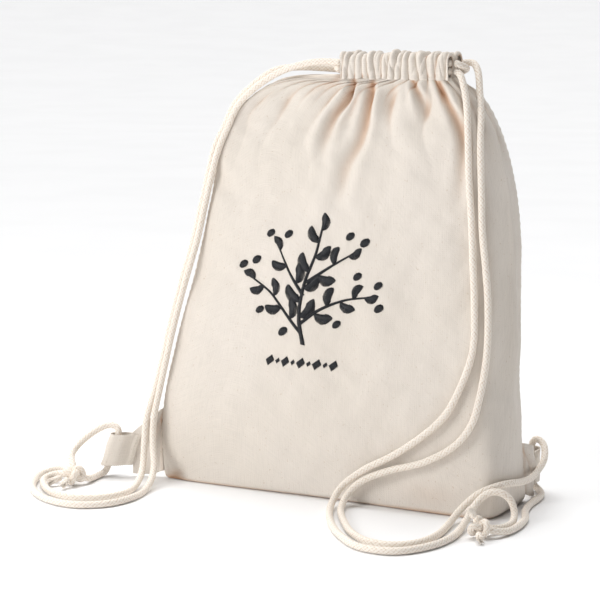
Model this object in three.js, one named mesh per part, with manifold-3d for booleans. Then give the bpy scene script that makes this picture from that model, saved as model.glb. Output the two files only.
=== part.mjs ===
// A gathered cotton drawstring backpack, standing stuffed on its base.
// Millimetres, +Z up, front towards -Y, origin on the floor under the middle of the bag's base.
import * as THREE from 'three';
import { mergeVertices } from 'three/addons/utils/BufferGeometryUtils.js';
import Module from 'manifold-3d';

const wasm = await Module();
wasm.setup();

// ---- Driving dimensions ----
const CLOTH = 2.4;              // thickness that stands for the canvas
const SEAM_GAP = 0.4;           // half the slit between the two panels at a seam
const TOUCH = 0.3;              // clearance between touching pieces
const CASING_BASE = 380;        // height of the hems' lower edge
const CASING_HEIGHT = 21;       // height of each gathered hem
const CASING_DEPTH = 11.5;      // front-to-back thickness of each hem
const CASING_LEFT = -16;        // left end of the gathered hems
const CASING_RIGHT = 91;        // right end of the gathered hems
const FRONT_HEM_Y = 14;         // outer face of the front hem
const BACK_HEM_Y = 44;          // outer face of the back hem
const TUNNEL_HEIGHT = 15;       // clear height of the tunnel that the cords run in
const TUNNEL_DEPTH = 7.8;       // clear depth of that tunnel
const CORD = 6.4;               // cord diameter
const CORD_SIDES = 8;
const CORD_STEP = 2.5;          // facets along a cord, one every so many diameters
const UPPER_RUN_Z = 394.4;      // height of the upper cord inside a tunnel
const LOWER_RUN_Z = 387.4;      // height of the lower cord inside a tunnel
const EXIT_GAP = 2;             // clearance between the end of a hem and the cords outside it
const EXIT_STUB = 4;            // straight length of a strand as it leaves a hem
const TURN_BULGE = 6;           // how far a cord's turn stands out of the tunnels
const HEM_CORNER = 3;           // rounding of a hem's upper edges
const HEM_STITCH_END = 2;       // the hem's stitching stops this far from its ends and lower edge
const PANEL_STEPS = 3;          // facets between two guide points of a panel
const PANEL_LEVELS = 12;        // facets up a panel
const BASE_RADIUS = 7;          // rounding where a panel turns under the bag
const BASE_SEAM_BOW = 14;       // how far the bottom seam bows back of a straight line
const BASE_SEAM_INSET = 0.07;   // its ends lie this share of the base's width inside the side seams
const SEAM_DEPTH = 4.8;         // how deep the turned-in edges of a side seam start
const SEAM_WIDTH = 6;           // width of those turned-in edges
const SEAM_THICKNESS = 1.4;
const SEAM_STEPS = 16;          // levels of a side seam, of which the topmost stay free
const SEAM_TOP_STEP = 13;
const EAR_PLY = 1.5;            // one ply of the flattened bottom corner
const TAB_HEIGHT = 30;          // width of the folded corner strip
const TAB_PLY = 1.3;            // thickness of that strip
const TAB_ROOM = 2.8;           // room around the cord inside the strip's loop
const TAB_FALL = 0.33;          // how far the left strip leans out over its height
const TAB_LAP = 9;              // length of the strip's ends on the corner
const TAB_REACH = 19;           // from the corner's tip to the middle of the strip's loop
const TAB_FLARE = [2, 12];      // the strip's plies part between these distances from the corner's tip
const EAR_ROWS = 9;             // facets up the flattened corner
const EAR_ROOT = 2.5;           // how far the flattened corner runs straight out of the seam
const STITCH = 0.8;             // height and thickness of a line of thread
const PATCH_LIFT = 1;           // clearance under the embroidery
const PATCH_THICKNESS = 0.8;
const KNOT_SEGMENTS = [14, 10];
const MOTIF_CENTRE = [-30, 192];
const MOTIF_HALF_HEIGHT = 53;
const MOTIF_HALF_WIDTH = 70;
const MOTIF_END_SHARE = 0.96;   // the oval is cut off flat at this share of its height
const BAR_CENTRE = [-31, 123];
const BAR_HALF_HEIGHT = 5;
const BAR_HALF_WIDTH = 37;

// Corner guides of the stuffed bag, from the floor to the hems: [x, y, z].
const GUIDES = {
  frontLeft: [[-181, -42, 0], [-188, -37, 60], [-181, -27, 125], [-164, -15, 200], [-152, -3, 270],
    [-141, 7, 330], [-96, 14, 372], [-16, 14, 380]],
  frontRight: [[162, -46, 0], [157, -38, 60], [153, -28, 125], [149, -16, 200], [139, -5, 270],
    [122, 5, 330], [107, 11, 364], [91, 14, 380]],
  backRight: [[165, 38, 0], [162, 40, 60], [160, 41, 125], [160, 42, 200], [156, 43, 270],
    [138, 43.5, 330], [116, 44, 364], [91, 44, 380]],
  backLeft: [[-156, 24, 0], [-164, 30, 60], [-159, 34, 125], [-150, 38, 200], [-140, 41, 270],
    [-131, 43, 330], [-88, 44, 372], [-16, 44, 380]],
};
const CORNER_ROUNDING = [12, 18, 22, 22, 20, 14, 9, 6];
const FRONT_BELLY = [0, 6, 9, 9, 6, 3, 1, 0];
const SIDE_BELLY = [0, 3, 4, 4, 3, 2, 0, 0];
const BACK_BELLY = 2;
const CORNER_PULL = 0.414;      // how far a rounded corner's middle lies inside the sharp one, by its radius
const GUIDE_COUNT = 16;         // guide points round the outline
const LEVELS_IN_GUIDE = CORNER_ROUNDING.length - 1;

// ---- Mesh helpers ----
function solidFromFaces(points, faces) {
  const geometry = new THREE.BufferGeometry();
  const positions = new Float32Array(points.flatMap((p) => [p.x, p.y, p.z]));
  geometry.setAttribute('position', new THREE.BufferAttribute(positions, 3));
  geometry.setIndex(faces.flat());
  return geometry;
}

// A closed solid through a list of rings, each a list of the same number of points.
function loftRings(rings) {
  const count = rings[0].length;
  const points = rings.flat();
  const faces = [];
  for (let r = 0; r < rings.length - 1; r += 1) {
    for (let c = 0; c < count; c += 1) {
      const a = r * count + c;
      const b = r * count + ((c + 1) % count);
      faces.push([a, b, a + count], [b, b + count, a + count]);
    }
  }
  const last = (rings.length - 1) * count;
  for (let c = 1; c < count - 1; c += 1) {
    faces.push([0, c + 1, c], [last, last + c, last + c + 1]);
  }
  return outward(solidFromFaces(points, faces));
}

// A closed sheet between two grids of points with the same rows and columns.
function sheetBetween(outer, inner) {
  const rows = outer.length;
  const cols = outer[0].length;
  const points = [...outer.flat(), ...inner.flat()];
  const size = rows * cols;
  const faces = [];
  for (let r = 0; r < rows - 1; r += 1) {
    for (let c = 0; c < cols - 1; c += 1) {
      const a = r * cols + c;
      faces.push([a, a + 1, a + cols], [a + 1, a + cols + 1, a + cols]);
      const i = a + size;
      faces.push([i, i + cols, i + 1], [i + 1, i + cols, i + cols + 1]);
    }
  }
  const rim = [];
  for (let c = 0; c < cols - 1; c += 1) rim.push(c);
  for (let r = 0; r < rows - 1; r += 1) rim.push(r * cols + cols - 1);
  for (let c = cols - 1; c > 0; c -= 1) rim.push((rows - 1) * cols + c);
  for (let r = rows - 1; r > 0; r -= 1) rim.push(r * cols);
  rim.forEach((a, k) => {
    const b = rim[(k + 1) % rim.length];
    faces.push([b, a, a + size], [b, a + size, b + size]);
  });
  return outward(solidFromFaces(points, faces));
}

// Turns a closed mesh so that its faces point out.
function outward(geometry) {
  const p = geometry.getAttribute('position');
  const index = geometry.getIndex().array;
  const corner = [0, 1, 2].map(() => new THREE.Vector3());
  let volume = 0;
  for (let i = 0; i < index.length; i += 3) {
    corner.forEach((v, k) => v.fromBufferAttribute(p, index[i + k]));
    volume += corner[0].dot(corner[1].clone().cross(corner[2]));
  }
  if (volume < 0) {
    for (let i = 0; i < index.length; i += 3) {
      [index[i + 1], index[i + 2]] = [index[i + 2], index[i + 1]];
    }
  }
  return geometry;
}

function toManifold(geometry) {
  const bare = geometry.clone();
  bare.deleteAttribute('normal');
  bare.deleteAttribute('uv');
  const merged = mergeVertices(bare, 1e-3);
  return new wasm.Manifold(new wasm.Mesh({
    numProp: 3,
    vertProperties: new Float32Array(merged.getAttribute('position').array),
    triVerts: new Uint32Array(merged.getIndex().array),
  }));
}

function fromManifold(solid) {
  const mesh = solid.getMesh();
  const geometry = new THREE.BufferGeometry();
  geometry.setAttribute('position', new THREE.BufferAttribute(new Float32Array(mesh.vertProperties), 3));
  geometry.setIndex(Array.from(mesh.triVerts));
  return geometry;
}

const vector = (p) => new THREE.Vector3(...p);
const mix = (a, b, t) => a.clone().lerp(b, t);

// ---- The stuffed outline ----
const guideCurves = Object.fromEntries(Object.entries(GUIDES).map(
  ([name, points]) => [name, new THREE.CatmullRomCurve3(points.map(vector), false, 'centripetal')],
));

function valueAt(list, level) {
  const at = Math.min(level * LEVELS_IN_GUIDE, LEVELS_IN_GUIDE - 1e-6);
  const low = Math.floor(at);
  return THREE.MathUtils.lerp(list[low], list[low + 1], at - low);
}

// The closed outline of the bag at one level, with guide points at every sixteenth of its length:
// 0 is the left seam, 4 the front right edge, 8 the right seam and 12 the back left edge.
function outlineAt(level, inset = 0) {
  const corners = Object.values(guideCurves).map((curve) => curve.getPoint(level));
  const rounding = valueAt(CORNER_ROUNDING, level);
  const side = valueAt(SIDE_BELLY, level);
  const bellies = [valueAt(FRONT_BELLY, level), side, BACK_BELLY, side];
  const centre = corners.reduce((sum, c) => sum.add(c), new THREE.Vector3()).multiplyScalar(1 / 4);
  const points = [];
  corners.forEach((corner, k) => {
    const next = corners[(k + 1) % 4];
    const previous = corners[(k + 3) % 4];
    const ahead = next.clone().sub(corner).normalize();
    const behind = previous.clone().sub(corner).normalize();
    const out = new THREE.Vector3(ahead.y, -ahead.x, 0).normalize();
    const bisector = ahead.clone().add(behind).normalize();
    points.push(corner.clone().addScaledVector(bisector, CORNER_PULL * rounding));
    points.push(corner.clone().addScaledVector(ahead, rounding));
    points.push(mix(corner, next, 0.5).addScaledVector(out, bellies[k]));
    points.push(next.clone().addScaledVector(ahead, -rounding));
  });
  points.forEach((p) => {
    const inward = centre.clone().sub(p).setZ(0).normalize();
    p.addScaledVector(inward, inset);
  });
  return new THREE.CatmullRomCurve3(points, true, 'centripetal');
}

// The bottom seam in plan, from the left side seam to the right one.
function baseSeamLine() {
  const outline = outlineAt(0);
  const left = mix(outline.getPoint(0), outline.getPoint(0.5), BASE_SEAM_INSET);
  const right = mix(outline.getPoint(0), outline.getPoint(0.5), 1 - BASE_SEAM_INSET);
  return (t) => {
    const point = mix(left, right, t);
    point.y += BASE_SEAM_BOW * Math.sin(Math.PI * t);
    return point.setZ(0);
  };
}

// One panel between two guide numbers, as rows of points from the base seam up to the hem.
function panelRows(first, last, inset) {
  const steps = (last - first) * PANEL_STEPS;
  const seamLine = baseSeamLine();
  const side = first === 0 ? -1 : 1;
  const rows = [];
  const seamRow = [];
  const turnRow = [];
  const lowRow = outlineAt(0, inset);
  for (let c = 0; c <= steps; c += 1) {
    const t = c / steps;
    const along = first === 0 ? t : 1 - t;
    const seam = seamLine(along);
    seam.y += side * SEAM_GAP;
    seamRow.push(seam.setZ(inset));
    const edge = lowRow.getPoint(columnAt(lowRow, first, last, t));
    const inward = seamLine(0.5).sub(edge).setZ(0).normalize();
    turnRow.push(edge.clone().addScaledVector(inward, BASE_RADIUS).setZ(inset));
  }
  rows.push(seamRow);
  rows.push(seamRow.map((p, c) => mix(p, turnRow[c], 0.5)));
  rows.push(turnRow);
  for (let r = 0; r <= PANEL_LEVELS; r += 1) {
    const level = r / PANEL_LEVELS;
    const curve = outlineAt(level, inset);
    const lift = r === 0 ? BASE_RADIUS : 0;
    const row = [];
    for (let c = 0; c <= steps; c += 1) {
      const p = curve.getPoint(columnAt(curve, first, last, c / steps));
      p.z = r === PANEL_LEVELS ? CASING_BASE - TOUCH : p.z + lift;
      row.push(p);
    }
    rows.push(row);
  }
  return rows;
}

// The curve parameter of a panel's column, kept clear of the seams by the seam gap.
function columnAt(curve, first, last, t) {
  const slack = SEAM_GAP / curve.getLength();
  return THREE.MathUtils.lerp(first / GUIDE_COUNT + slack, last / GUIDE_COUNT - slack, t);
}

function panelGeometry(first, last) {
  return sheetBetween(panelRows(first, last, 0), panelRows(first, last, CLOTH));
}

// ---- Cord routes, in millimetres ----
const frontRunY = FRONT_HEM_Y + CASING_DEPTH / 2;
const backRunY = BACK_HEM_Y - CASING_DEPTH / 2;
const leftExitX = CASING_LEFT - EXIT_GAP;
const rightExitX = CASING_RIGHT + EXIT_GAP;

const LEFT_FRONT_ROUTE = [
  [leftExitX, frontRunY, UPPER_RUN_Z], [leftExitX - EXIT_STUB, frontRunY, UPPER_RUN_Z], [-37, 18, 395],
  [-57, 15, 392], [-80, 12, 384], [-103, 8.5, 369.5], [-119, 6, 353.5], [-129.5, 4, 331.5],
  [-136.5, 0.5, 313.5], [-143, -3.5, 285.5], [-147.5, -8, 259], [-152.5, -13.5, 228], [-162, -20, 189],
  [-171, -26, 149], [-177, -31.5, 115], [-182, -37, 83.5], [-183, -46, 58], [-180, -53, 38],
  [-170, -68, 15], [-161, -97, 3.6], [-157, -132, 3.4], [-166, -158, 3.4], [-190, -173, 3.4],
  [-221, -168, 3.4], [-253, -145, 3.4], [-270, -120, 3.5], [-277, -97, 5.5], [-268, -82, 8],
  [-255, -86, 9.5], [-245.5, -95, 10],
];
const LEFT_BACK_ROUTE = [
  [leftExitX, backRunY, LOWER_RUN_Z], [leftExitX - EXIT_STUB, backRunY, LOWER_RUN_Z], [-38, 34, 388.5],
  [-60, 25, 389.5], [-84, 18, 387], [-108, 14, 372], [-125, 10.5, 354], [-135.5, 8.5, 332],
  [-143.2, 4.6, 314], [-149, 1, 286], [-153.5, -3.5, 259.5], [-158.5, -9, 228.5], [-168, -15.5, 189.5],
  [-177, -21.5, 149.5], [-183, -27, 115.5], [-188.5, -34, 84], [-190.5, -47, 58], [-187.5, -56, 36],
  [-182, -69, 14], [-174, -96, 4], [-172, -122, 3.4], [-183, -142, 3.4], [-206, -153, 3.4],
  [-233, -145, 3.4], [-254, -127, 4], [-264.5, -110, 5.5], [-259, -101, 8], [-247.5, -102, 9.5],
];
const LEFT_LOOP_ROUTE = [
  [-242, -96, 18], [-250, -87, 24], [-249, -74, 33], [-240, -62, 43], [-228, -54, 49.5],
  [-218.6, -51.8, 47], [-218.6, -53.1, 40], [-223.1, -55, 26], [-227, -56.7, 14], [-228.6, -58, 6.5],
  [-229.4, -61, 3.8], [-230.6, -67, 3.4], [-229, -82, 3.6], [-227, -95, 6],
];
const RIGHT_FRONT_ROUTE = [
  [rightExitX, frontRunY, LOWER_RUN_Z], [rightExitX + EXIT_STUB, frontRunY, LOWER_RUN_Z],
  [100.5, 17.5, 384], [105, 14, 374], [110, 9, 357], [114.5, 2, 327], [118.5, -4.7, 294],
  [123.5, -10.4, 260], [127.5, -16, 225], [131.5, -21.3, 190], [133.8, -28.3, 147], [126, -35.3, 116],
  [113.5, -41.5, 89], [96, -46, 71], [68.5, -49, 50.5], [38.5, -50.5, 33.5], [19, -54, 17],
  [16.5, -66, 7], [24, -88, 3.6], [42, -122, 3.4], [67, -155, 3.4], [97, -179, 3.4], [126, -178, 3.4],
  [145, -154, 3.4], [152.5, -120, 3.4], [150, -90, 4.5], [148.5, -70, 9.5], [152.5, -57, 21],
  [161.5, -51.5, 28.5], [171, -46.5, 27], [177.5, -42, 19], [180, -42, 10], [182, -51, 4],
  [182, -65, 3.6], [178.5, -78, 4.5], [174.5, -89, 7],
];
const RIGHT_BACK_ROUTE = [
  [rightExitX, backRunY, UPPER_RUN_Z], [rightExitX + EXIT_STUB, backRunY, UPPER_RUN_Z],
  [103.5, 38.2, 395.5], [110.5, 33, 388], [115.5, 25.5, 370], [121.4, 14.4, 347], [124, 7, 327],
  [129.6, -3, 283], [133.3, -9.2, 250], [138.5, -13.7, 220], [142.7, -17.4, 190], [145.5, -24.5, 147],
  [144.4, -30, 121], [142.5, -34.5, 104], [138.5, -39.5, 84], [125.8, -44.5, 65], [98, -49.5, 47.3],
  [61.5, -51, 35.2], [36, -52.5, 22.5], [25.5, -57, 10], [27, -70, 4], [36, -90, 3.4], [52, -116, 3.4],
  [72, -143, 3.4], [95, -161, 3.4], [118, -162, 3.4], [134, -146, 3.4], [139, -118, 3.4],
  [136, -88, 3.6], [134, -66, 6.5], [139, -54.5, 15], [149.5, -48.5, 25], [160.5, -40, 30],
  [167.5, -22, 30], [169, 2, 26], [169.5, 24, 24], [169.5, 41, 26], [171, 58, 35], [164, 73, 47],
  [155, 75, 50], [152.9, 73.4, 42], [153.2, 73.1, 30], [153.4, 73.4, 18], [153.9, 73.6, 10],
  [155.6, 73.6, 5.2], [160.5, 71.6, 3.4], [171.5, 50, 3.4], [173.5, 16, 3.4], [178, -10, 3.4],
  [187, -34, 3.4], [190, -60, 3.4], [188, -82, 4], [181.5, -95, 7],
];
const LEFT_LEAD = 440;          // length of the left strands that stays along the bag's edge
const RIGHT_LEAD = 34;          // length of the right strands that stays by the hems
const LEFT_KNOT = [-236, -103, 9.8];
const RIGHT_KNOT = [170, -99, 9.8];
const KNOT_RADII = [10.5, 8.5, 9.6];
const LEFT_TAILS = [
  [[-246, -109.5, 8], [-250.5, -115, 6], [-255, -119, 3.8]],
  [[-236, -113, 8], [-236, -119, 6], [-234, -124, 3.8]],
];
const RIGHT_TAILS = [
  [[167, -103, 18.5], [165, -105, 23], [162, -106, 27]],
  [[173, -108.5, 7], [176, -114, 5], [179, -119, 3.8]],
];

// ---- Cords ----
function polygonShape(radius, sides) {
  const corner = (k) => (2 * Math.PI * k) / sides;
  const points = Array.from({ length: sides }, (_, k) => (
    new THREE.Vector2(radius * Math.cos(corner(k)), radius * Math.sin(corner(k)))));
  return new THREE.Shape(points);
}

// A tube along a route, from one length along it to another, measured from its first point.
function cordTube(route, from = 0, to = Infinity) {
  const whole = new THREE.CatmullRomCurve3(route.map(vector), false, 'centripetal');
  const length = whole.getLength();
  const end = Math.min(to, length);
  const steps = Math.max(2, Math.round((end - from) / (CORD_STEP * CORD)));
  const samples = Array.from({ length: steps * 2 + 1 }, (_, k) => (
    whole.getPointAt((from + ((end - from) * k) / (steps * 2)) / length)));
  const path = new THREE.CatmullRomCurve3(samples, false, 'centripetal');
  return new THREE.ExtrudeGeometry(polygonShape(CORD / 2, CORD_SIDES), {
    steps, bevelEnabled: false, extrudePath: path,
  });
}

function straightRun(y, z) {
  return cordTube([[CASING_LEFT, y, z], [(CASING_LEFT + CASING_RIGHT) / 2, y, z], [CASING_RIGHT, y, z]]);
}

// The short turn of a cord from one tunnel to the other, at the end of the hems.
function cordTurn(x, frontZ, backZ, direction) {
  const steps = 6;
  const route = Array.from({ length: steps + 1 }, (_, k) => {
    const angle = (Math.PI * k) / steps;
    return [
      x + direction * TURN_BULGE * Math.sin(angle),
      THREE.MathUtils.lerp(frontRunY, backRunY, (1 - Math.cos(angle)) / 2),
      THREE.MathUtils.lerp(frontZ, backZ, k / steps),
    ];
  });
  const start = [x - direction, frontRunY, frontZ];
  const end = [x - direction, backRunY, backZ];
  return cordTube([start, ...route, end]);
}

function knotGeometry(centre) {
  const ball = new THREE.SphereGeometry(1, ...KNOT_SEGMENTS);
  ball.scale(...KNOT_RADII);
  ball.translate(...centre);
  return ball;
}

// ---- Hems ----
// A flattened sleeve along X with the tunnel that the cords run in.
function casingGeometry(outerY, inwardSign) {
  const low = CASING_BASE;
  const high = CASING_BASE + CASING_HEIGHT;
  const near = Math.min(outerY, outerY + inwardSign * CASING_DEPTH);
  const far = near + CASING_DEPTH;
  const outline = new THREE.Shape();
  outline.moveTo(near, low);
  outline.lineTo(far, low);
  outline.lineTo(far, high - HEM_CORNER);
  outline.quadraticCurveTo(far, high, far - HEM_CORNER, high);
  outline.lineTo(near + HEM_CORNER, high);
  outline.quadraticCurveTo(near, high, near, high - HEM_CORNER);
  outline.closePath();
  const wallY = (CASING_DEPTH - TUNNEL_DEPTH) / 2;
  const wallZ = (CASING_HEIGHT - TUNNEL_HEIGHT) / 2;
  const tunnel = new THREE.Path();
  tunnel.moveTo(near + wallY, low + wallZ);
  tunnel.lineTo(near + wallY, high - wallZ);
  tunnel.lineTo(far - wallY, high - wallZ);
  tunnel.lineTo(far - wallY, low + wallZ);
  tunnel.closePath();
  outline.holes.push(tunnel);
  const length = CASING_RIGHT - CASING_LEFT;
  const options = { depth: length, bevelEnabled: false, curveSegments: 3 };
  const sleeve = new THREE.ExtrudeGeometry(outline, options);
  // The shape's x, y and depth become the bag's Y, Z and X.
  sleeve.applyMatrix4(new THREE.Matrix4().makeBasis(
    new THREE.Vector3(0, 1, 0), new THREE.Vector3(0, 0, 1), new THREE.Vector3(1, 0, 0)));
  sleeve.translate(CASING_LEFT, 0, 0);
  return sleeve;
}

function casingStitching(outerY, outwardSign) {
  const width = CASING_RIGHT - CASING_LEFT - 2 * HEM_STITCH_END;
  const line = new THREE.BoxGeometry(width, STITCH, STITCH);
  const y = outerY + outwardSign * (TOUCH + STITCH / 2);
  line.translate((CASING_LEFT + CASING_RIGHT) / 2, y, CASING_BASE + HEM_STITCH_END);
  return line;
}

// ---- Seams inside the bag ----
function sideSeam(guideNumber) {
  const rings = [];
  for (let k = 1; k <= SEAM_TOP_STEP; k += 1) {
    const curve = outlineAt(k / SEAM_STEPS);
    const edge = curve.getPoint(guideNumber / GUIDE_COUNT);
    const tangent = curve.getTangent(guideNumber / GUIDE_COUNT).setZ(0).normalize();
    const inward = new THREE.Vector3(-tangent.y, tangent.x, 0);
    const far = SEAM_DEPTH + SEAM_WIDTH;
    const corners = [[SEAM_DEPTH, -1], [far, -1], [far, 1], [SEAM_DEPTH, 1]];
    rings.push(corners.map(([depth, sign]) => edge.clone().addScaledVector(inward, depth)
      .addScaledVector(tangent, (sign * SEAM_THICKNESS) / 2)));
  }
  return loftRings(rings);
}

function bottomSeam() {
  const steps = 12;
  const low = CLOTH + TOUCH;
  const high = low + SEAM_WIDTH;
  const line = baseSeamLine();
  const rings = Array.from({ length: steps + 1 }, (_, k) => {
    const p = line(THREE.MathUtils.lerp(0.02, 0.98, k / steps));
    return [[-1, low], [1, low], [1, high], [-1, high]].map(([sign, z]) => (
      new THREE.Vector3(p.x, p.y + (sign * SEAM_THICKNESS) / 2, z)));
  });
  return loftRings(rings);
}

// ---- Bottom corners and their loops ----
// A side seam at every level of the panels: its outer point, the middle of the cloth and the way out.
function seamLevels(guideNumber) {
  const at = guideNumber / GUIDE_COUNT;
  return Array.from({ length: PANEL_LEVELS + 1 }, (_, r) => {
    const curve = outlineAt(r / PANEL_LEVELS);
    const lift = new THREE.Vector3(0, 0, r === 0 ? BASE_RADIUS : 0);
    const point = curve.getPoint(at).add(lift);
    const root = outlineAt(r / PANEL_LEVELS, CLOTH / 2).getPoint(at).add(lift);
    const tangent = curve.getTangent(at).setZ(0).normalize();
    return { point, root, out: new THREE.Vector3(tangent.y, -tangent.x, 0) };
  });
}

// The same at one height, from the levels above and below it.
function seamPoint(levels, z) {
  const upper = Math.max(1, levels.findIndex(({ point }) => point.z > z));
  const [below, above] = [levels[upper - 1], levels[upper]];
  const t = (z - below.point.z) / (above.point.z - below.point.z);
  const between = (key) => mix(below[key], above[key], t);
  return { point: between('point'), root: between('root'), out: between('out').normalize() };
}

// The direction in plan from a corner's bend to its tip, which its tab carries on.
function cornerDirection({ bend, tip }) {
  return new THREE.Vector3(tip[0] - bend[0], tip[1] - bend[1], 0).normalize();
}

// One ply of a bottom corner, flattened: it leaves the side seam and runs to the corner's tip.
function earPly(corner, side) {
  const along = cornerDirection(corner);
  const across = new THREE.Vector3(-along.y, along.x, 0);
  const levels = seamLevels(corner.guide);
  const rowAt = (t, offset) => {
    const z = THREE.MathUtils.lerp(BASE_RADIUS, corner.rootTop, t);
    const { point, root, out } = seamPoint(levels, z);
    const beside = new THREE.Vector3(-out.y, out.x, 0).multiplyScalar(side * offset);
    const outside = point.clone().addScaledVector(out, EAR_ROOT);
    const free = ([x, y], top) => new THREE.Vector3(x, y, THREE.MathUtils.lerp(corner.low, top, t))
      .addScaledVector(across, side * offset);
    return [
      root.clone().add(beside), point.clone().add(beside), outside.add(beside),
      free(corner.bend, corner.bendTop), free(corner.tip, corner.tipTop),
    ];
  };
  const ply = (offset) => Array.from({ length: EAR_ROWS + 1 }, (_, r) => rowAt(r / EAR_ROWS, offset));
  return sheetBetween(ply(TOUCH / 2 + EAR_PLY), ply(TOUCH / 2));
}

// The strip folded round the cord: a hairpin in plan, stitched to both sides of the corner.
function tabOutline() {
  const narrow = EAR_PLY + TOUCH / 2 + TOUCH;
  const wide = CORD / 2 + TAB_ROOM;
  const steps = 6;
  const hairpin = (grow) => {
    const arc = Array.from({ length: steps + 1 }, (_, k) => {
      const angle = (Math.PI * k) / steps;
      return [TAB_REACH + (wide + grow) * Math.sin(angle), -(wide + grow) * Math.cos(angle)];
    });
    const lap = [[-TAB_LAP, narrow + grow], [TAB_FLARE[0], narrow + grow], [TAB_FLARE[1], wide + grow]];
    return [...lap.map(([x, y]) => [x, -y]), ...arc, ...lap.reverse()];
  };
  const points = [...hairpin(TAB_PLY), ...hairpin(0).reverse()];
  return new THREE.Shape(points.map(([x, y]) => new THREE.Vector2(x, y)));
}

// Places a shape drawn along the corner's direction, from its tip, and leans it with the strip.
function standOnCorner(geometry, corner) {
  const along = cornerDirection(corner);
  geometry.translate(0, 0, -TAB_HEIGHT / 2);
  geometry.applyMatrix4(new THREE.Matrix4().makeShear(0, 0, 0, 0, -corner.fall, 0));
  geometry.rotateZ(Math.atan2(along.y, along.x));
  geometry.translate(corner.tip[0], corner.tip[1], corner.tabLow + TAB_HEIGHT / 2);
  return geometry;
}

function tabGeometry(corner) {
  const strip = new THREE.ExtrudeGeometry(tabOutline(), { depth: TAB_HEIGHT, bevelEnabled: false });
  return standOnCorner(strip, corner);
}

function tabStitching(corner, side) {
  const line = new THREE.BoxGeometry(STITCH, STITCH, TAB_HEIGHT - 4);
  const offset = EAR_PLY + TOUCH / 2 + TOUCH + TAB_PLY + TOUCH + STITCH / 2;
  line.translate(-TAB_LAP / 2, side * offset, TAB_HEIGHT / 2);
  return standOnCorner(line, corner);
}

const LEFT_CORNER = {
  guide: 0, bend: [-189, -40], tip: [-206, -47.5],
  low: 3, rootTop: 66, bendTop: 58, tipTop: 43, tabLow: 11.5, fall: TAB_FALL,
};
const RIGHT_CORNER = {
  guide: 8, bend: [164, 44.5], tip: [160, 55.5],
  low: 3, rootTop: 54, bendTop: 50, tipTop: 43, tabLow: 11.5, fall: 0,
};

function panelWithEar(first, last, ears) {
  const pieces = ears.map(([corner, side]) => toManifold(earPly(corner, side)));
  return fromManifold(pieces.reduce((sum, piece) => sum.add(piece), toManifold(panelGeometry(first, last))));
}

// ---- Embroidery: thin patches that follow the front panel ----
function panelPoint(x, z, offset) {
  // The level whose height at this x is z, found by halving.
  let low = 0;
  let high = 1;
  let point;
  for (let k = 0; k < 22; k += 1) {
    const level = (low + high) / 2;
    point = frontPointAt(level, x);
    if (point.z < z) low = level;
    else high = level;
  }
  return new THREE.Vector3(point.x, point.y - offset, point.z);
}

function frontPointAt(level, x) {
  const curve = outlineAt(level);
  let low = 0;
  let high = 4 / GUIDE_COUNT;
  let point;
  for (let k = 0; k < 16; k += 1) {
    const at = (low + high) / 2;
    point = curve.getPoint(at);
    if (point.x < x) low = at;
    else high = at;
  }
  return point;
}

// A patch on the front panel whose half width at each height comes from a function.
function patchGeometry(centre, halfHeight, halfWidthAt, rows, columns) {
  const grid = (offset) => Array.from({ length: rows + 1 }, (_, r) => {
    const v = (2 * r) / rows - 1;
    const half = halfWidthAt(v);
    return Array.from({ length: columns + 1 }, (_unused, c) => (
      panelPoint(centre[0] + half * ((2 * c) / columns - 1), centre[1] + v * halfHeight, offset)));
  });
  return sheetBetween(grid(PATCH_LIFT + PATCH_THICKNESS), grid(PATCH_LIFT));
}

// ---- Materials ----
const cotton = () => new THREE.MeshStandardMaterial({ color: 0xe9e1d2, roughness: 0.92, metalness: 0 });
const rope = () => new THREE.MeshStandardMaterial({ color: 0xf1e8dc, roughness: 0.88, metalness: 0 });
const tape = () => new THREE.MeshStandardMaterial({ color: 0xeee2cf, roughness: 0.9, metalness: 0 });
const whiteThread = () => new THREE.MeshStandardMaterial({ color: 0xf4efe6, roughness: 0.6, metalness: 0 });
const blackThread = () => new THREE.MeshStandardMaterial({ color: 0x14161a, roughness: 0.45, metalness: 0 });

// ---- Assembly ----
const bag = new THREE.Group();

function add(name, geometry, material) {
  const mesh = new THREE.Mesh(geometry, material);
  mesh.name = name;
  bag.add(mesh);
}

add('front_panel', panelWithEar(0, 8, [[LEFT_CORNER, 1], [RIGHT_CORNER, -1]]), cotton());
add('back_panel', panelWithEar(8, 16, [[LEFT_CORNER, -1], [RIGHT_CORNER, 1]]), cotton());
add('front_casing', casingGeometry(FRONT_HEM_Y, 1), cotton());
add('back_casing', casingGeometry(BACK_HEM_Y, -1), cotton());
add('front_casing_stitching', casingStitching(FRONT_HEM_Y, -1), whiteThread());
add('back_casing_stitching', casingStitching(BACK_HEM_Y, 1), whiteThread());
add('left_side_seam', sideSeam(0), whiteThread());
add('right_side_seam', sideSeam(8), whiteThread());
add('bottom_seam', bottomSeam(), whiteThread());
add('left_tab', tabGeometry(LEFT_CORNER), tape());
add('right_tab', tabGeometry(RIGHT_CORNER), tape());
for (const [name, side] of [['front', 1], ['back', -1]]) {
  add(`left_tab_${name}_stitching`, tabStitching(LEFT_CORNER, side), whiteThread());
  add(`right_tab_${name}_stitching`, tabStitching(RIGHT_CORNER, -side), whiteThread());
}

add('left_cord_front_run', straightRun(frontRunY, UPPER_RUN_Z), rope());
add('left_cord_back_run', straightRun(backRunY, LOWER_RUN_Z), rope());
add('right_cord_front_run', straightRun(frontRunY, LOWER_RUN_Z), rope());
add('right_cord_back_run', straightRun(backRunY, UPPER_RUN_Z), rope());
add('left_cord_turn', cordTurn(rightExitX + 1, UPPER_RUN_Z, LOWER_RUN_Z, 1), rope());
add('right_cord_turn', cordTurn(leftExitX - 1, LOWER_RUN_Z, UPPER_RUN_Z, -1), rope());

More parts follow.
